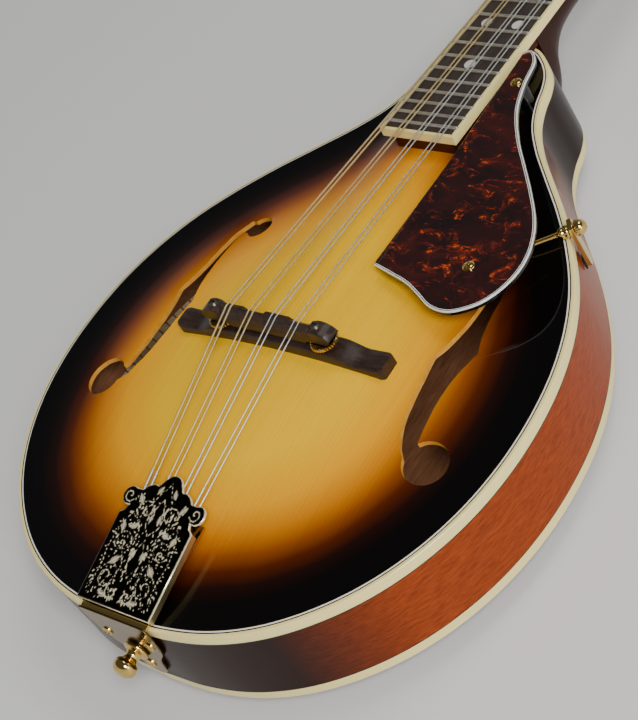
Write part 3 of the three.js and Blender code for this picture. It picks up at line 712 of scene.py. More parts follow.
def edging(name, sgn, z0, node):
    """Cream binding with a black and a white line inside it and a dark line below it."""
    def strip(profile):
        return sweep([(i, z0 + sgn * h) for i, h in profile])

    low = -BIND_H - 0.45
    cream = [(0, -BIND_H), (0, -0.9), (0.12, -0.42), (0.42, -0.12), (0.9, 0), (BIND_IN, 0),
            (BIND_IN, -BIND_H)]
    black = [(BIND_IN, -1), (BIND_IN, 0.03), (LINE_IN, 0.03), (LINE_IN, -1)]
    white = [(LINE_IN, -1), (LINE_IN, 0.06), (PURF, 0.1), (PURF, -1)]
    line = [(-0.03, -BIND_H), (-0.03, low), (0.5, low), (0.5, -BIND_H)]
    add(name, strip(cream), CREAM, cad=node, angle=30)
    add(name + "_black", strip(black), BLACK)
    add(name + "_white", strip(white), WHITE)
    add(name + "_line", strip(line), BLACK)


def lining(name, z_plate, sgn, node):
    """Kerfed strip glued along the plate, one block with a sloping face after the other."""
    n, blocks, filled = len(RING), [], 0.84
    steps = int(n / 3)
    outer, inner = outline(SIDE_T), outline(LINING_IN)

    def along(ring, u):
        return np.stack([np.interp(u, np.arange(n + 1), np.append(c, c[0])) for c in ring.T], 1)

    for k in range(steps):
        u = np.array([k, k + filled / 2, k + filled]) * n / steps
        o, i = along(outer, u), along(inner, u)
        blocks.append(loops([np.array([(*o[j], z_plate), (*i[j], z_plate), (*i[j], z_plate - sgn * 2.6),
                (*o[j], z_plate - sgn * 7.2)]) for j in range(3)]))
    add(name, merge(*blocks), BARE, cad=node)


side_wall()
edging("edge_top", 1, 0, "top_binding")
edging("edge_back", -1, -DEPTH, "back_binding")
lining("kerfed_lining_top", -4, 1, "top_lining")
lining("kerfed_lining_back", -DEPTH + 4, -1, "back_lining")

# ---- neck, heel and headstock
HEEL_Y = 68.9
HEAD_HALF = [(14.9, 0), (15.3, 4), (19, 13), (26.5, 20), (28.6, 27), (28, 60), (27.2, 118),
        (27.8, 124), (22, 127.5), (14, 131), (6, 137), (0, 138)]


def board_half(y):
    return BOARD_HALF + BOARD_TAPER * y


def local_z(y, world_z):
    return world_z - NECK_Z - y * sin(NECK_TILT)


def mirrored(half):
    """Closes a half outline that ends on the middle line."""
    return np.vstack([half, (half[:-1] * [-1, 1])[::-1]])


def neck_shaft():
    """Stations of y, half width, lowest z, fullness and how upright the section stands."""
    y = HEEL_Y
    stations = [(y, 17.5, local_z(y, -46), 0.75, 1), (y + 6, 17.2, local_z(y + 6, -42), 0.8, 1),
            (y + 12, 17, -37, 0.9, 1), (y + 21, 17, -27.5, 1, 0.4), (y + 32, 17, -23.4, 1, 0),
            (y + 60, 16.6, -22.2, 1, 0), (NUT_Y - 60, 15.8, -21.2, 1, 0),
            (NUT_Y - 14, 14.9, -20.4, 1, 0), (NUT_Y + 5, 14.6, -20, 0.9, 0)]
    w = np.linspace(0, pi, 33)
    c = np.cos(w)
    z_top = -BOARD_T - SEAM
    rings = []
    for y, half, z_low, full, upright in catmull(stations, 70):
        x = half * np.sign(c) * np.abs(c) ** full
        z = z_top - (z_top - z_low) * np.sin(w).clip(0) ** 0.85
        rings.append(xyz(x, y + z * tan(NECK_TILT) * np.clip(upright, 0, 1), z))
    part = loops(rings)
    add("neck_shaft", part, NECKWOOD, at=in_neck, cad="neck", angle=50,
        attrs={"shade": 0.9})


def neck_extension():
    under = []
    for i in range(25):
        y = BOARD_START + 1.2 + (HEEL_Y + 4 - BOARD_START) * i / 24
        under.append((y, local_z(y, arch1(0, min(176, y + NECK_Y)) - 0.3)))
    prof = [(under[0][0], -BOARD_T)] + under + [(under[-1][0], -BOARD_T)]
    # Darkened toward near black: painted shade under the fretboard's end.
    add("neck_extension", across(prof, (-17, 17)), NECKWOOD, at=in_neck, bevel=0.6,
        attrs={"shade": 0.8})


def headstock():
    shape = mirrored(np.vstack([catmull(HEAD_HALF[:8], 60), catmull(HEAD_HALF[7:], 24)[1:]]))
    part = prism(shape, -HEAD_T, -0.9)
    add("headstock_core", part, NECKWOOD, at=in_head, bevel=1.6, segments=4,
        attrs={"shade": 0.9})
    add("headstock_face", prism(shape, -0.9, 0), BLACK, at=in_head, bevel=0.35)


def cross_head(r, height, x, y, z0, tilt=0.5):
    """A domed head with a cross recess, as a height field on rings."""
    w = around(64)
    rings = [xyz(r * np.cos(w) + x, r * np.sin(w) + y, z0 - 0.2)]
    for q in np.linspace(0, 1, 16)[::-1]:
        px, py = r * q * np.cos(w), r * q * np.sin(w)
        dome = height * np.sqrt(np.clip(1 - (q * 0.93) ** 2, 0, 1))
        a, b = px * cos(tilt) + py * sin(tilt), -px * sin(tilt) + py * cos(tilt)
        arm = np.minimum(np.maximum(np.abs(a) / (r * 0.62), np.abs(b) / (r * 0.15)),
                np.maximum(np.abs(b) / (r * 0.62), np.abs(a) / (r * 0.15)))
        rings.append(xyz(px + x, py + y, z0 + dome - 0.9 * height * np.clip(1.25 - arm, 0, 0.5)))
    return loops(rings)


def truss_cover():
    half = catmull([(0, 29), (3, 24), (7, 18), (9.5, 8), (6.5, 1.2)], 30)
    shape = np.vstack([half, (half * [-1, 1])[::-1][:-1]])
    add("truss_cover", prism(shape, 0.05, 2.3), BLACK, at=in_head, bevel=0.5, cad="truss_rod_cover")
    add("truss_cover_edge", prism(shape + (shape - [0, 14]) * 0.1, 0.03, 0.9), WHITE, at=in_head)
    screws = [cross_head(1.6, 0.9, 0, y, 2.25) for y in (4.4, 24)]
    add("truss_cover_screws", merge(*screws), GOLD, at=in_head)


neck_shaft()
neck_extension()
headstock()
truss_cover()


# ---- fretboard and nut
def board_loop(inset):
    y0, y1 = BOARD_START + inset, NUT_Y
    h0, h1 = board_half(y0) - inset, board_half(y1) - inset
    return np.array([(-h0, y0), (h0, y0), (h1, y1), (-h1, y1)])


def fretboard():
    o, i = board_loop(0), board_loop(BOARD_BIND)
    add("board", prism(i, -BOARD_T, 0), BOARDWOOD, at=in_neck, cad="fretboard")

    def section(k):
        return np.array([(*i[k], -BOARD_T), (*o[k], -BOARD_T), (*o[k], -0.3),
                (*(o[k] * 0.985 + i[k] * 0.015), 0.02), (*i[k], 0.02)])

    strips = [loops([section(a), section(b)]) for a, b in ((0, 1), (1, 2), (3, 0))]
    add("board_binding", merge(*strips), CREAM, at=in_neck, cad="fretboard_binding", bevel=0.25)


def fret_y(n):
    return SCALE * 2 ** (-n / 12) - NECK_Y


def fret_wires(radius=0.85):
    w = np.linspace(0, pi, 11)
    wires = []
    for n in range(1, 21):
        y, h = fret_y(n), board_half(fret_y(n))
        ends = ((-h + 0.25, 0.25), (-h + 0.9, 0.72), (-h + 1.6, 0.95),
                (h - 1.6, 0.95), (h - 0.9, 0.72), (h - 0.25, 0.25))
        wires.append(loops([xyz(x, y + radius * np.cos(w), t * np.sin(w) - 0.02) for x, t in ends]))
    add("frets", merge(*wires), NICKEL, at=in_neck, angle=60)


def position_dots():
    dots = []
    for n, xs in ((5, (0,)), (7, (0,)), (10, (0,)), (12, (-9, 9)), (15, (0,))):
        y = SCALE * (2 ** (-(n - 1) / 12) + 2 ** (-n / 12)) / 2 - NECK_Y
        dots += [prism(circle(x, y, 2.9, 40), -1, 0.04) for x in xs]
    add("position_dots", merge(*dots), PEARL, at=in_neck)


def nut():
    half, crest, slot = board_half(NUT_Y) - 0.3, 1.75, 1.4
    prof = [(-half, -BOARD_T), (-half, 1.2), (-half + 0.6, crest)]
    for s in sorted(c + side * PAIR_NUT for c in COURSES_NUT for side in (-1, 1)):
        prof += [(s - 0.5, crest), (s - 0.38, slot), (s + 0.38, slot), (s + 0.5, crest)]
    prof += [(half - 0.6, crest), (half, 1.2), (half, -BOARD_T)]
    rings = [np.array([(x, y, min(z, limit) if z > 0 else z) for x, z in prof])
            for y, limit in ((NUT_Y, crest), (NUT_Y + 2.6, 1.7), (NUT_Y + 4.6, 0.5))]
    add("nut_bone", loops(rings), BONE, at=in_neck, cad="nut")


fretboard()
fret_wires()
position_dots()
nut()

# ---- bridge
FOOT_TOP = arch1(STUD_X, BRIDGE_Y) + 6
WHEEL_Z = FOOT_TOP + 1.9
WHEEL_T = 1.8
SIDES_OF = (("bass", -1), ("treble", 1))


def bridge_foot(half_depth=5.5):
    xs = np.linspace(-FOOT_HALF, FOOT_HALF, 181)
    low = np.array([max(arch1(x, BRIDGE_Y - 5.5), arch1(x, BRIDGE_Y + 5.5)) for x in xs]) + 0.08
    a = np.abs(xs)
    rise = np.where(a > 47, 3.2 + (a - 47) / 14 * 2.6, np.where(a > 39, 3.2 + (47 - a) / 8 * 2.8, 6.0))
    for _ in range(14):
        rise[1:-1] = rise[1:-1] * 0.5 + (rise[:-2] + rise[2:]) * 0.25
    crest = arch(np.column_stack([xs, np.full(len(xs), BRIDGE_Y)])) + rise
    seat = arch1(STUD_X, BRIDGE_Y) + 6.15
    crest = np.where(np.abs(a - STUD_X) < 7.4, np.minimum(crest, seat), crest)
    rings = []
    for x, z0, z1 in zip(xs, low, crest):
        end = min(1.0, (FOOT_HALF - abs(x)) / 2.5)
        k = half_depth - 1.2 * (1 - end) ** 2
        section = [(-k, z0), (-k, z1 - 0.9), (-k + 0.35, z1 - 0.28), (-k + 1, z1),
                (k - 1, z1), (k - 0.35, z1 - 0.28), (k, z1 - 0.9), (k, z0)]
        rings.append(np.array([(x, BRIDGE_Y + y, z) for y, z in section]))
    add("bridge_foot", loops(rings), ROSE, cad="bridge_base", angle=50)


def saddle():
    """Sections across the saddle: ears at both ends, a stepped crest under the four pairs."""
    wheel_top = WHEEL_Z + 2.1
    ear_x = (27.6, 29, 31, 33.5, 36, 37.5, 38)
    ear_z = SADDLE_Z - np.array([1.0, 0.45, 0.3, 0.7, 2.1, 3.9, 6])
    thick, thin_by, pair_shift = 3.6, 2.2, (0.9, -0.5, 0.8, -0.9)
    rings = []
    for x in np.linspace(-38, 38, 229):
        q = abs(x)
        hi = SADDLE_Z + 0.1 - 0.6 * (q / 27) ** 2 if q < 27.2 else np.interp(q, ear_x, ear_z)
        lo = wheel_top + max(0.0, (q - 34) / 4) ** 2 * 2.6
        deep = np.clip((23.6 - q) / 1.6, 0, 1)
        lo = lo + (min(lo, arch1(x, BRIDGE_Y) + 7.65) - lo) * deep * deep * (3 - 2 * deep)
        hi = max(hi, lo + 0.6)
        blend = np.clip((27.4 - q) / 0.8, 0, 1)
        y_mid = pair_shift[min(range(4), key=lambda c: abs(x - COURSES_SADDLE[c]))]
        section = []
        for s in (-1, 1):
            y_top = s * (thick - blend * thin_by) + blend * y_mid
            y_low = s * (thick * (1 - blend) + blend * 2.9) + blend * y_mid * 0.3
            line = [(s * thick, lo + 0.3), (s * thick, max(hi - 6.5, lo + 0.35)), (y_low, hi - 3.4),
                    (y_top, hi - 0.5), (y_top - s * 0.45, hi)]
            section += line if s < 0 else line[::-1]
        rings.append(np.array([(x, BRIDGE_Y + y, max(min(z, hi), lo)) for y, z in section]))
    add("saddle", loops(rings), ROSE, body="bridge_saddle", cad="bridge_saddle", angle=40)


def thread(heights, crest, root):
    return [(crest if k % 2 else root, h) for k, h in enumerate(heights)]


def stud(side, s):
    heights = np.arange(FOOT_TOP - 2, SADDLE_Z + 0.9, 0.3)
    screw = lathe([(0, heights[0])] + thread(heights, 1.72, 1.45) + [(1.55, SADDLE_Z + 1.0)], 24, "z")
    cheek = prism(circle(0, 0, 1.5, 24)[1:12], SADDLE_Z + 0.9, SADDLE_Z + 1.6)
    other = (cheek[0] * [1, -1, 1] - [0, 0.12, 0], cheek[1])
    add(f"stud_{side}", shift(merge(screw, shift(cheek, (0, 0.12, 0)), other), (s * STUD_X, BRIDGE_Y, 0)),
        DARK_STEEL, cad=f"bridge_stud_{side}")


def thumbwheel(side, s, bore=1.8):
    w = around(192)
    knurl = 6.6 - 0.42 * (0.5 + 0.5 * np.cos(w * 32))
    rings = [polar(r, w, h) for r, h in ((bore, 0), (knurl - 0.5, 0), (knurl, 0.35), (knurl, 1.45),
            (knurl - 0.5, WHEEL_T), (bore, WHEEL_T))]
    part = shift(loops(rings, cap=False, closed_path=True), (s * STUD_X, BRIDGE_Y, WHEEL_Z))
    add(f"wheel_{side}", part, GOLD, body=f"thumbwheel_{side}", cad=f"thumbwheel_{side}", angle=30)


bridge_foot()
saddle()
for side, s in SIDES_OF:
    stud(side, s)
    thumbwheel(side, s)


# ---- tailpiece and end pin
def in_flange(p):
    p = np.asarray(p, float)
    return xyz(p[:, 0], -153.05 - p[:, 2], p[:, 1])


def tail_base():
    hook = [(19.6, 1), (19.9, 2.6), (20.6, 3.9), (21.8, 4.3), (22.3, 4.0)]
    parts = [box(-20, 20, -2.6, 47, 0, 1.2)]
    for c in COURSES_TAIL:
        for s in (-1, 1):
            parts.append(tube([(c + s * PAIR_TAIL, y, z) for y, z in hook], 0.55, 10))
    add("tail_plate", merge(*parts), GOLD, at=in_base, cad="tailpiece_base", bevel=0.25)
    side = catmull([(20, -6), (17, -17), (10, -26), (7, -35), (3, -38.5), (0, -39)], 40)
    flange = mirrored(np.vstack([[(20, 3)], side]))
    # Darker gold on the flange: painted dark reflection.
    add("tail_flange", prism(flange, 0.05, 1.1), GOLD_PAINTED_DARK_REFLECTION, at=in_flange, bevel=0.4, segments=3)
    screws = [cross_head(2.5, 1.3, x, y, 1.05, 0.3 + x) for x, y in ((-13, -12.6), (13, -12.6), (0, -31.5))]
    add("flange_screws", merge(*screws), GOLD, at=in_flange)


def cover_outline():
    half = [(22, 0), (22, 39.6), (19.6, 41.2), (18.9, 43.2)]
    for k in range(25):
        w = radians(-115 + 230 * k / 24)
        half.append((20 + 4.3 * cos(w), 47.6 + 4.3 * sin(w)))
    half += catmull([(14.6, 51.6), (12.9, 53.6), (11.2, 54.6), (9.4, 55.3), (7.4, 55)], 12).tolist()
    half += catmull([(7.0, 55.3), (5.4, 57.8), (2.6, 60.6), (0, 61.2)], 12).tolist()
    return mirrored(np.array(half))


def spiral(cx, cy, r0, turns, a0, sense=1):
    u = np.linspace(0, 1, 46)
    r = r0 * (1 - u) ** 0.85 + 0.5
    w = a0 + sense * turns * 2 * pi * u
    return np.column_stack([cx + r * np.cos(w), cy + r * np.sin(w)])


def engraving(v2):
    """Height 0 to 1 of scrolls, leaves and seeded flecks, the same on both sides of the middle; it also
    places the painted highlights on the cover.
    """
    scrolls = [spiral(11.5, 12, 5.4, 1.3, 2.0), spiral(12, 27.5, 5.6, 1.4, 4.0, -1),
            spiral(19.6, 47.6, 2.6, 1.1, 3.6), spiral(7, 43.5, 4.8, 1.3, 5.2),
            spiral(4.6, 6.5, 3.0, 1.1, 0.6, -1),
            catmull([(3, 3), (7.5, 9), (6, 18), (9, 24), (5.5, 33), (8.5, 40), (4, 50), (0, 57)], 60),
            catmull([(17.5, 6), (17, 17), (18, 24), (16.6, 34), (13.5, 41)], 40),
            catmull([(0, 14), (3.4, 20), (1.6, 27), (0, 31)], 24),
            catmull([(0, 33), (4, 38), (2, 46), (0, 50)], 24)]
    rng = np.random.default_rng(11)
    leaves = []
    for _ in range(210):
        x, y = rng.uniform(1.5, 19.5), rng.uniform(2.5, 50)
        if x < 16 or y < 38:
            length = rng.uniform(0.55, 1.1)
            leaves.append((x, y, length, 0.2, atan2(y - 26, x - 2) + rng.uniform(-0.5, 0.5)))
    leaves += [(3.2, 24.5, 2.6, 1.2, 1.0), (11, 19.5, 3.4, 1.3, 2.4), (15, 34, 2.8, 1.1, 1.3),
            (4.5, 53, 2.6, 1.0, 2.0), (9, 4.5, 3.2, 1.1, 0.2), (12.5, 47.5, 3, 1.1, 0.9),
            (2.4, 40.5, 2, 1, 1.6), (9.5, 35.5, 3, 1.1, 2.8)]
    px, py = np.abs(v2[:, 0]), v2[:, 1]
    relief = np.zeros(len(v2))
    for line in scrolls:
        gap = np.min(np.hypot(px[:, None] - line[None, :, 0], py[:, None] - line[None, :, 1]), 1)
        relief = np.maximum(relief, np.exp(-(gap / 0.36) ** 2))
    for cx, cy, length, width, turn in leaves:
        along = (px - cx) * cos(turn) + (py - cy) * sin(turn)
        across = -(px - cx) * sin(turn) + (py - cy) * cos(turn)
        d = (along / length) ** 2 + (across / (width * 1.3)) ** 2
        relief = np.maximum(relief, np.exp(-d ** 2) * (0.75 + 0.25 * np.cos(across * 5)))
    return relief


def tail_cover():
    edge = cover_outline()
    v2, tris = sheet(edge, 0.62)
    relief, gap = engraving(v2), edge_gap(v2, edge)
    z = 0.34 * relief * np.clip(gap - 0.9, 0, 1) - 0.55 * np.clip(1 - gap / 0.9, 0, 1) ** 2
    # tone is the engraving plus a painted highlight along the cover's rolled edge.
    tone = np.maximum(relief, 0.75 * np.clip(1.3 - gap * 1.6, 0, 1))
    verts, faces, _ = slab(v2, tris, z, np.full(len(v2), -1.0))
    add("tail_cover", (verts, faces), PAINTED_GLINT_GOLD, body="tailpiece_cover", at=in_cover,
        cad="tailpiece_cover", angle=60, attrs={"relief": np.tile(tone, 2)})
    walls = [box(x, x + 1, 0, 39.6, -3.9, -0.5) for x in (21, -22)]
    add("tail_cover_walls", merge(*walls), SATIN, body="tailpiece_cover", at=in_cover, bevel=0.3)


def end_pin():
    neck = catmull([(4, 0), (4, 22.4)], 4).tolist()
    knob = catmull([(5.6, 22.6), (5.9, 23.2), (5.6, 24.2), (3.8, 25), (2.9, 27), (3.3, 28.6), (4.9, 30),
            (5.4, 31.8), (4.9, 33.8), (3.0, 35.5), (0.01, 36)], 48).tolist()
    v, f = lathe([(0, 0)] + neck + knob, 48, "y")
    add("strap_pin", (v * [1, -1, 1] - [0, 131.9, 20], f), GOLD, cad="end_pin")


tail_base()
tail_cover()
end_pin()

# ---- pickguard
GUARD = [(22.4, 163.2), (26, 165), (32.1, 159), (35.7, 144.3), (40.5, 130.6), (45.6, 121.7), (53.9, 110.3),
        (65.8, 96.7), (77.3, 83.5), (87.6, 70.5), (93.7, 60), (97.4, 49.2), (98.1, 39.2), (95.8, 29.2),
        (90.9, 20.9), (84, 15.5), (78.7, 13.2), (72.5, 13), (66.6, 14.5), (58.1, 19), (49, 23.4),
        (38.5, 26.5), (27.3, 29.5)]
GUARD_CURVE = catmull(GUARD, 220) - [0, GUARD_Y]
GUARD_SCREWS = {"neck": (31.2, 3.8), "body": (73.7, -102.2)}


def guard_line(inset):
    t = np.gradient(GUARD_CURVE, axis=0)
    t /= np.linalg.norm(t, axis=1)[:, None]
    return GUARD_CURVE + np.column_stack([t[:, 1], -t[:, 0]]) * inset


def ribbon(d0, d1, z0, z1, ease=0.0):
    a, b, eased = guard_line(d0), guard_line(d1), guard_line(d0 + ease)
    return loops([np.array([(*a[k], z0), (*a[k], z1 - ease), (*eased[k], z1), (*b[k], z1), (*b[k], z0)])
            for k in range(len(a))])


def pickguard(line_low=-0.85):
    along_board = [(26.6, -108.9), (26.4, -46.5), (26, -37.7)]
    add("guard_shell", prism(np.vstack([guard_line(1.1), along_board]), -GUARD_T, 0), SHELL, at=in_guard,
        bevel=0.3, cad="pickguard")
    white = merge(ribbon(0, 0.5, line_low, 0.0, 0.15), ribbon(0.85, 1.15, line_low, 0.02))
    black = merge(ribbon(0.5, 0.85, line_low, 0.01), ribbon(0.04, 1.15, -GUARD_T, line_low))
    add("guard_edge_white", white, WHITE, at=in_guard, angle=40)
    add("guard_edge_black", black, BLACK, at=in_guard, angle=40)


def guard_screw(name, x, y):
    shank = shift(lathe([(0, -7.6), (1.45, -7.4), (1.45, 0.3)], 20, "z"), (x, y, 0))
    seat = shift(lathe([(2.75, -0.2), (2.75, 0.1), (2.6, 0.2), (0, 0.2)], 40, "z"), (x, y, 0))
    add(f"guard_screw_{name}", merge(cross_head(2.6, 1.3, x, y, 0.15, 0.5), shank, seat), GOLD,
        at=in_guard, cad=f"pickguard_screw_{name}")


def guard_post():
    x, y = 31.2, 143.8
    foot = arch1(x, y) + 0.2
    post = lathe([(0, foot), (4.2, foot), (4.2, foot + 0.5), (4, 9.2), (0, 9.2)], 40, "z")
    add("guard_post", shift(post, (x, y, 0)), BLACK, cad="pickguard_post")


pickguard()
for name, (x, y) in GUARD_SCREWS.items():
    guard_screw(name, x, y)
guard_post()

# ---- side bracket and clamp
ROD_START = np.array([81.5, 62.3, 3.4])
ROD_TURN = atan2(0.613, 0.79)
LEG_X = 21.2


def in_rod(p):
    p = np.asarray(p, float)
    c, s = cos(ROD_TURN), sin(ROD_TURN)
    return xyz(c * p[:, 0] - s * p[:, 1], s * p[:, 0] + c * p[:, 1], p[:, 2]) + ROD_START


def bracket():
    strap = prism([(68.5, -105), (78, -107), (87, -78), (79, -75)], -GUARD_T - 1.8, -GUARD_T - 0.05)
    leg = box(-1, 1, -3.6, 3.6, -1.4, 10.4)
    add("guard_strap", merge((in_guard(strap[0]), strap[1]), (in_rod(leg[0]), leg[1])), GOLD,
        cad="pickguard_bracket", bevel=0.35)
    rod = [(0, 0)] + thread(np.arange(0, 27.01, 0.3), 1.3, 1.12) + [(0.9, 27.3), (0, 27.4)]
    add("guard_rod", lathe(rod, 28, "x"), GOLD, at=in_rod, angle=25)


def clamp():
    leg = [(-3.6, 3.4), (-3.6, -17), (-2.9, -19.5), (-1.6, -21.4), (0, -22), (1.6, -21.4), (2.9, -19.5),
           (3.6, -17), (3.6, 3.4), (2.6, 4.2), (-2.6, 4.2)]
    add("clamp_leg", across(leg, (LEG_X - 1.1, LEG_X + 1.1)), GOLD, body="clamp", at=in_rod,
        cad="clamp", bevel=0.3)
    v, f = prism([(-3.2, -21.3), (3.2, -21.3), (3.2, -15.5), (-3.2, -15.5)], 0, 1)
    pad = (xyz(LEG_X - 1.1 - v[:, 2], v[:, 0], v[:, 1]), f)
    add("clamp_pad", pad, BLACK, body="clamp", at=in_rod, bevel=0.35)
    collar = catmull([(1.4, 15.2), (2.5, 15.5), (2.9, 16.6), (2.7, 17.8), (3.0, 19), (2.6, 19.9),
            (1.4, 20.05)], 30)
    add("clamp_collar", lathe(collar.tolist(), 40, "x"), GOLD, body="clamp", at=in_rod, angle=50)


def clamp_knob():
    w = around(96)
    rings = []
    for r, h in ((1.35, 0), (3.2, 0), (3.6, 0.35), (3.6, 2.0), (3.35, 2.9), (2.9, 3.6), (2.2, 4.3),
            (1.35, 4.8)):
        knurl = r - (0.16 * (0.5 + 0.5 * np.cos(w * 24)) if 0.3 < h < 2.5 else 0)
        rings.append(xyz(22.6 + h, knurl * np.cos(w), knurl * np.sin(w)))
    add("clamp_knob", loops(rings, cap=False, closed_path=True), GOLD, body="clamp_nut", at=in_rod,
        cad="clamp_nut", angle=40)


bracket()
clamp()
clamp_knob()


# ---- tuners
def machine_plate(side, s):
    px, z_top = s * POST_X, -HEAD_T - 0.1
    plate = catmull([(0, 24), (8.4, 28), (9.6, 34), (9.2, 46), (9.6, 58), (9.2, 70), (9.6, 82), (9.2, 94),
            (9.6, 106), (8.4, 116), (0, 120)], 90)
    loop = np.vstack([plate, (plate[1:-1] * [-1, 1])[::-1]]) + [px, 0]
    parts = [prism(loop, z_top - 1.3, z_top)]
    lug = [(-2.8, z_top), (-2.8, WORM_Z), (-2.4, WORM_Z - 1.5), (-1.4, WORM_Z - 2.5), (0, WORM_Z - 2.8),
           (1.4, WORM_Z - 2.5), (2.4, WORM_Z - 1.5), (2.8, WORM_Z), (2.8, z_top)]
    for y in POST_Y:
        for ends in ((-9.2, -7.4), (7, 9.2)):
            section = [(y + WORM_AHEAD + dy, z) for dy, z in lug]
            parts.append(across(section, sorted(px + s * e for e in ends)))
    for y in (26.5, 50, 74, 98, 116.5):
        v, f = cross_head(1.5, 0.8, px, y, 0)
        parts.append((v * [1, 1, -1] + [0, 0, z_top - 1.25], f))
    add(f"machine_plate_{side}", merge(*parts), GOLD, at=in_head, bevel=0.2,
        cad=f"tuner_plate_{side}")


def tuner_post(key, px, y):
    w = around(128)
    teeth = 5.8 - 0.75 * (0.5 + 0.5 * np.clip(1.6 * np.cos(w * 16), -1, 1))
    gear = loops([polar(teeth, w, h) for h in (-20.2, -16.6)])
    hub = lathe([(0, -20.7), (1.7, -20.7), (2.4, -20.3), (2.4, -20)], 28, "z")
    shaft = lathe([(3.1, -16.6), (3.1, 3.4), (3.05, 4.2), (2.75, 5.2), (2.65, 7.2), (2.75, 9), (3.05, 10.4),
            (3.1, 12.9), (2.9, 13.6), (2.3, 14), (0, 14.05)], 40, "z")
    body = f"tuner_post_{key}"
    add(f"post_{key}", shift(merge(gear, hub, shaft), (px, y, 0)), GOLD, body=body, at=in_head,
        cad=body, angle=32)


def tuner_button(key, s, at, half=5.4, pitch=2.3):
    """Worm shaft and button, which turn as one."""
    w = around(28)
    rings = []
    for u in np.concatenate([[-9, -5.6], np.linspace(-half, half, 55), [5.6, 7, 13, 16.6]]):
        r = 1.75 + 0.36 * np.cos(w - u * 2 * pi / pitch) if abs(u) <= half else 1.25
        rings.append(xyz(s * u, r * np.cos(w), r * np.sin(w)))
    v, f = lathe([(1.2, 9.3), (2.2, 9.6), (2.3, 10.8), (1.5, 11.2), (1.3, 12.8), (2.6, 14.4), (2.7, 16.2),
            (1.2, 16.6)], 32, "x")
    body = f"tuner_button_{key}"
    add(f"worm_{key}", shift(merge(loops(rings), (v * [s, 1, 1], f)), at), GOLD, body=body, at=in_head,
        angle=40)
    bell = catmull([(1.4, 16.6), (2.8, 17.2), (4.6, 19.4), (6.0, 22.2), (6.3, 25), (5.8, 27.6), (4.2, 29.3),
            (2.2, 30.1), (0.01, 30.3)], 40)
    v, f = lathe(bell.tolist(), 48, "x")
    add(f"button_{key}", shift((v * [s, 1, 1], f), at), PEARL, body=body, at=in_head, cad=body)


def ferrules(side, px):
    ring = lathe([(3.3, 0.05), (5.2, 0.05), (5.3, 0.5), (4.6, 1.0), (3.3, 1.2)], 40, "z")
    add(f"ferrules_{side}", merge(*[shift(ring, (px, y, 0)) for y in POST_Y]), GOLD, at=in_head)


for side, s in SIDES_OF:
    machine_plate(side, s)
    for i, y in enumerate(POST_Y):
        key = f"{side}_{i + 1}"
        tuner_post(key, s * POST_X, y)
        tuner_button(key, s, (s * POST_X, y + WORM_AHEAD, WORM_Z))
    ferrules(side, s * POST_X)


# ---- strings
def string(letter, c, k):
    """One string: tail hook, saddle, nut, then turns round its post; a twist near the hook."""
    s, r = (-1, 1)[k], STRING_R[c]
    side = -1 if c < 2 else 1
    post = c * 2 + k if c < 2 else (3 - c) * 2 + (1 - k)
    tail = in_base([(COURSES_TAIL[c] + s * PAIR_TAIL, 21.4, 2.8 + r)])[0]
    over = np.array([COURSES_SADDLE[c] + s * PAIR_SADDLE, BRIDGE_Y, SADDLE_Z + 0.15 + r])
    at_nut = in_neck([(COURSES_NUT[c] + s * PAIR_NUT, NUT_Y + 2.3, 1.5 + r)])[0]
    coil = 2.75 + r
    cx, cy = side * POST_X, POST_Y[post]
    start = in_head([(cx - side * coil, cy - 1, 7)])[0]
    path = [tail]
    for a, b, n in ((tail, over, 10), (over, at_nut, 60), (at_nut, start, 10)):
        path += [a + (b - a) * (j + 1) / n for j in range(n)]
    turns = []
    for j in range(72):
        w = (pi if side > 0 else 0.0) - side * 2 * pi * 2.6 * j / 71
        turns.append((cx + coil * cos(w), cy + coil * sin(w), 7.6 - 4.2 * r * 2 * 0.62 * j / 71))
    path += list(in_head(turns))
    add(f"wire_{letter}{k + 1}", tube(path, r, 12), WOUND if c < 2 else PLAIN,
        cad=f"string_{letter}{k + 1}", angle=60)
    near_tail = [tail + (over - tail) * u for u in np.linspace(0.02, 0.34, 44)]
    twist = r + 0.16 + 0.12 * np.cos(np.arange(44) * pi)
    add(f"wire_twist_{letter}{k + 1}", tube(near_tail, twist, 10), PLAIN, angle=60)


for c, letter in enumerate("gdae"):
    for k in (0, 1):
        string(letter, c, k)

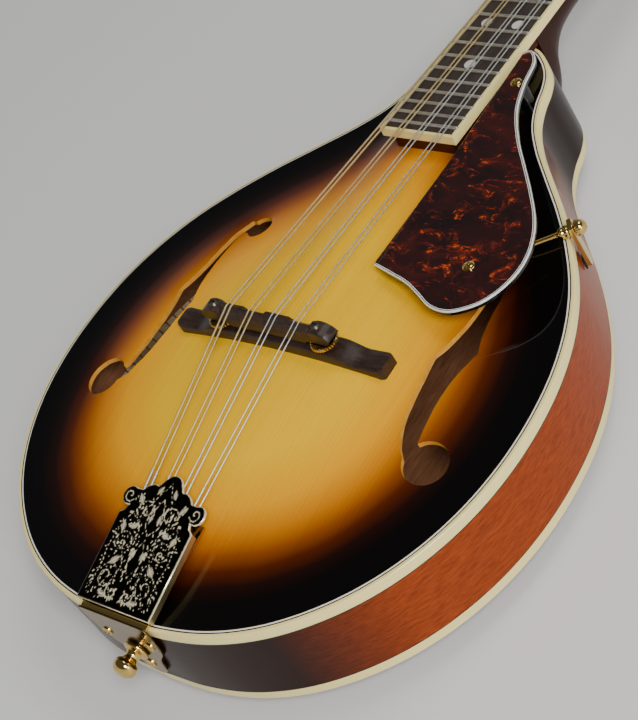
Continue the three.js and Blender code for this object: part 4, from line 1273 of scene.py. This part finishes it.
# ---- CAD pieces shown as they are
CAD_LOOK = {"neck_block": INNER, "tail_block": INNER, "tone_bar_bass": INNER, "tone_bar_treble": INNER,
        "truss_rod": STEEL, "truss_rod_nut": GOLD}
for node, material in CAD_LOOK.items():
    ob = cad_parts[node]
    ob.data.materials.clear()
    ob.data.materials.append(material)


# ---- floor, world, lights
def studio_floor(span=6.0, cells=12, z=-0.0004):
    m = Nodes("studio_floor", srgb(232, 231, 229), 0.55)
    m.color(m.mix(m.noise(m.coords(), 3, 2), srgb(233, 232, 230), srgb(228, 227, 225)))
    g, n = np.linspace(-span, span, cells + 1), cells + 1
    me = bpy.data.meshes.new("floor")
    me.from_pydata([(x, y, z) for y in g for x in g], [],
            [(j * n + i, j * n + i + 1, (j + 1) * n + i + 1, (j + 1) * n + i)
            for j in range(cells) for i in range(cells)])
    me.materials.append(m.mat)
    floor = bpy.data.objects.new("floor", me)
    scene.collection.objects.link(floor)


def studio_world():
    """Light grey low down, darker overhead, so that the lacquer keeps its colour."""
    world = bpy.data.worlds.new("studio")
    world.use_nodes = True
    tree = world.node_tree
    coord = tree.nodes.new("ShaderNodeTexCoord")
    split = tree.nodes.new("ShaderNodeSeparateXYZ")
    fade = tree.nodes.new("ShaderNodeValToRGB")
    tree.links.new(coord.outputs["Generated"], split.inputs[0])
    tree.links.new(split.outputs["Z"], fade.inputs["Fac"])
    for stop, (at, grey) in zip(fade.color_ramp.elements, ((0.2, 0.75), (0.45, 0.1))):
        stop.position, stop.color = at, (grey, grey, grey, 1)
    tree.links.new(fade.outputs["Color"], tree.nodes["Background"].inputs["Color"])
    tree.nodes["Background"].inputs["Strength"].default_value = 1.0
    scene.world = world


def area(name, at, target, size, power):
    data = bpy.data.lights.new(name, "AREA")
    data.shape = "RECTANGLE"
    data.size = data.size_y = size
    data.energy = power
    ob = bpy.data.objects.new(name, data)
    ob.location = at
    ob.rotation_euler = (Vector(target) - Vector(at)).to_track_quat("-Z", "Y").to_euler()
    scene.collection.objects.link(ob)


studio_floor()
studio_world()
area("key", (1.55, -0.85, 1.65), (0, -0.05, 0.05), 0.7, 46)
area("side", (2.0, -0.5, 0.8), (0, 0, 0.05), 0.9, 8)
area("over", (0.5, 0.9, 2.2), (0, 0, 0.05), 0.9, 12)
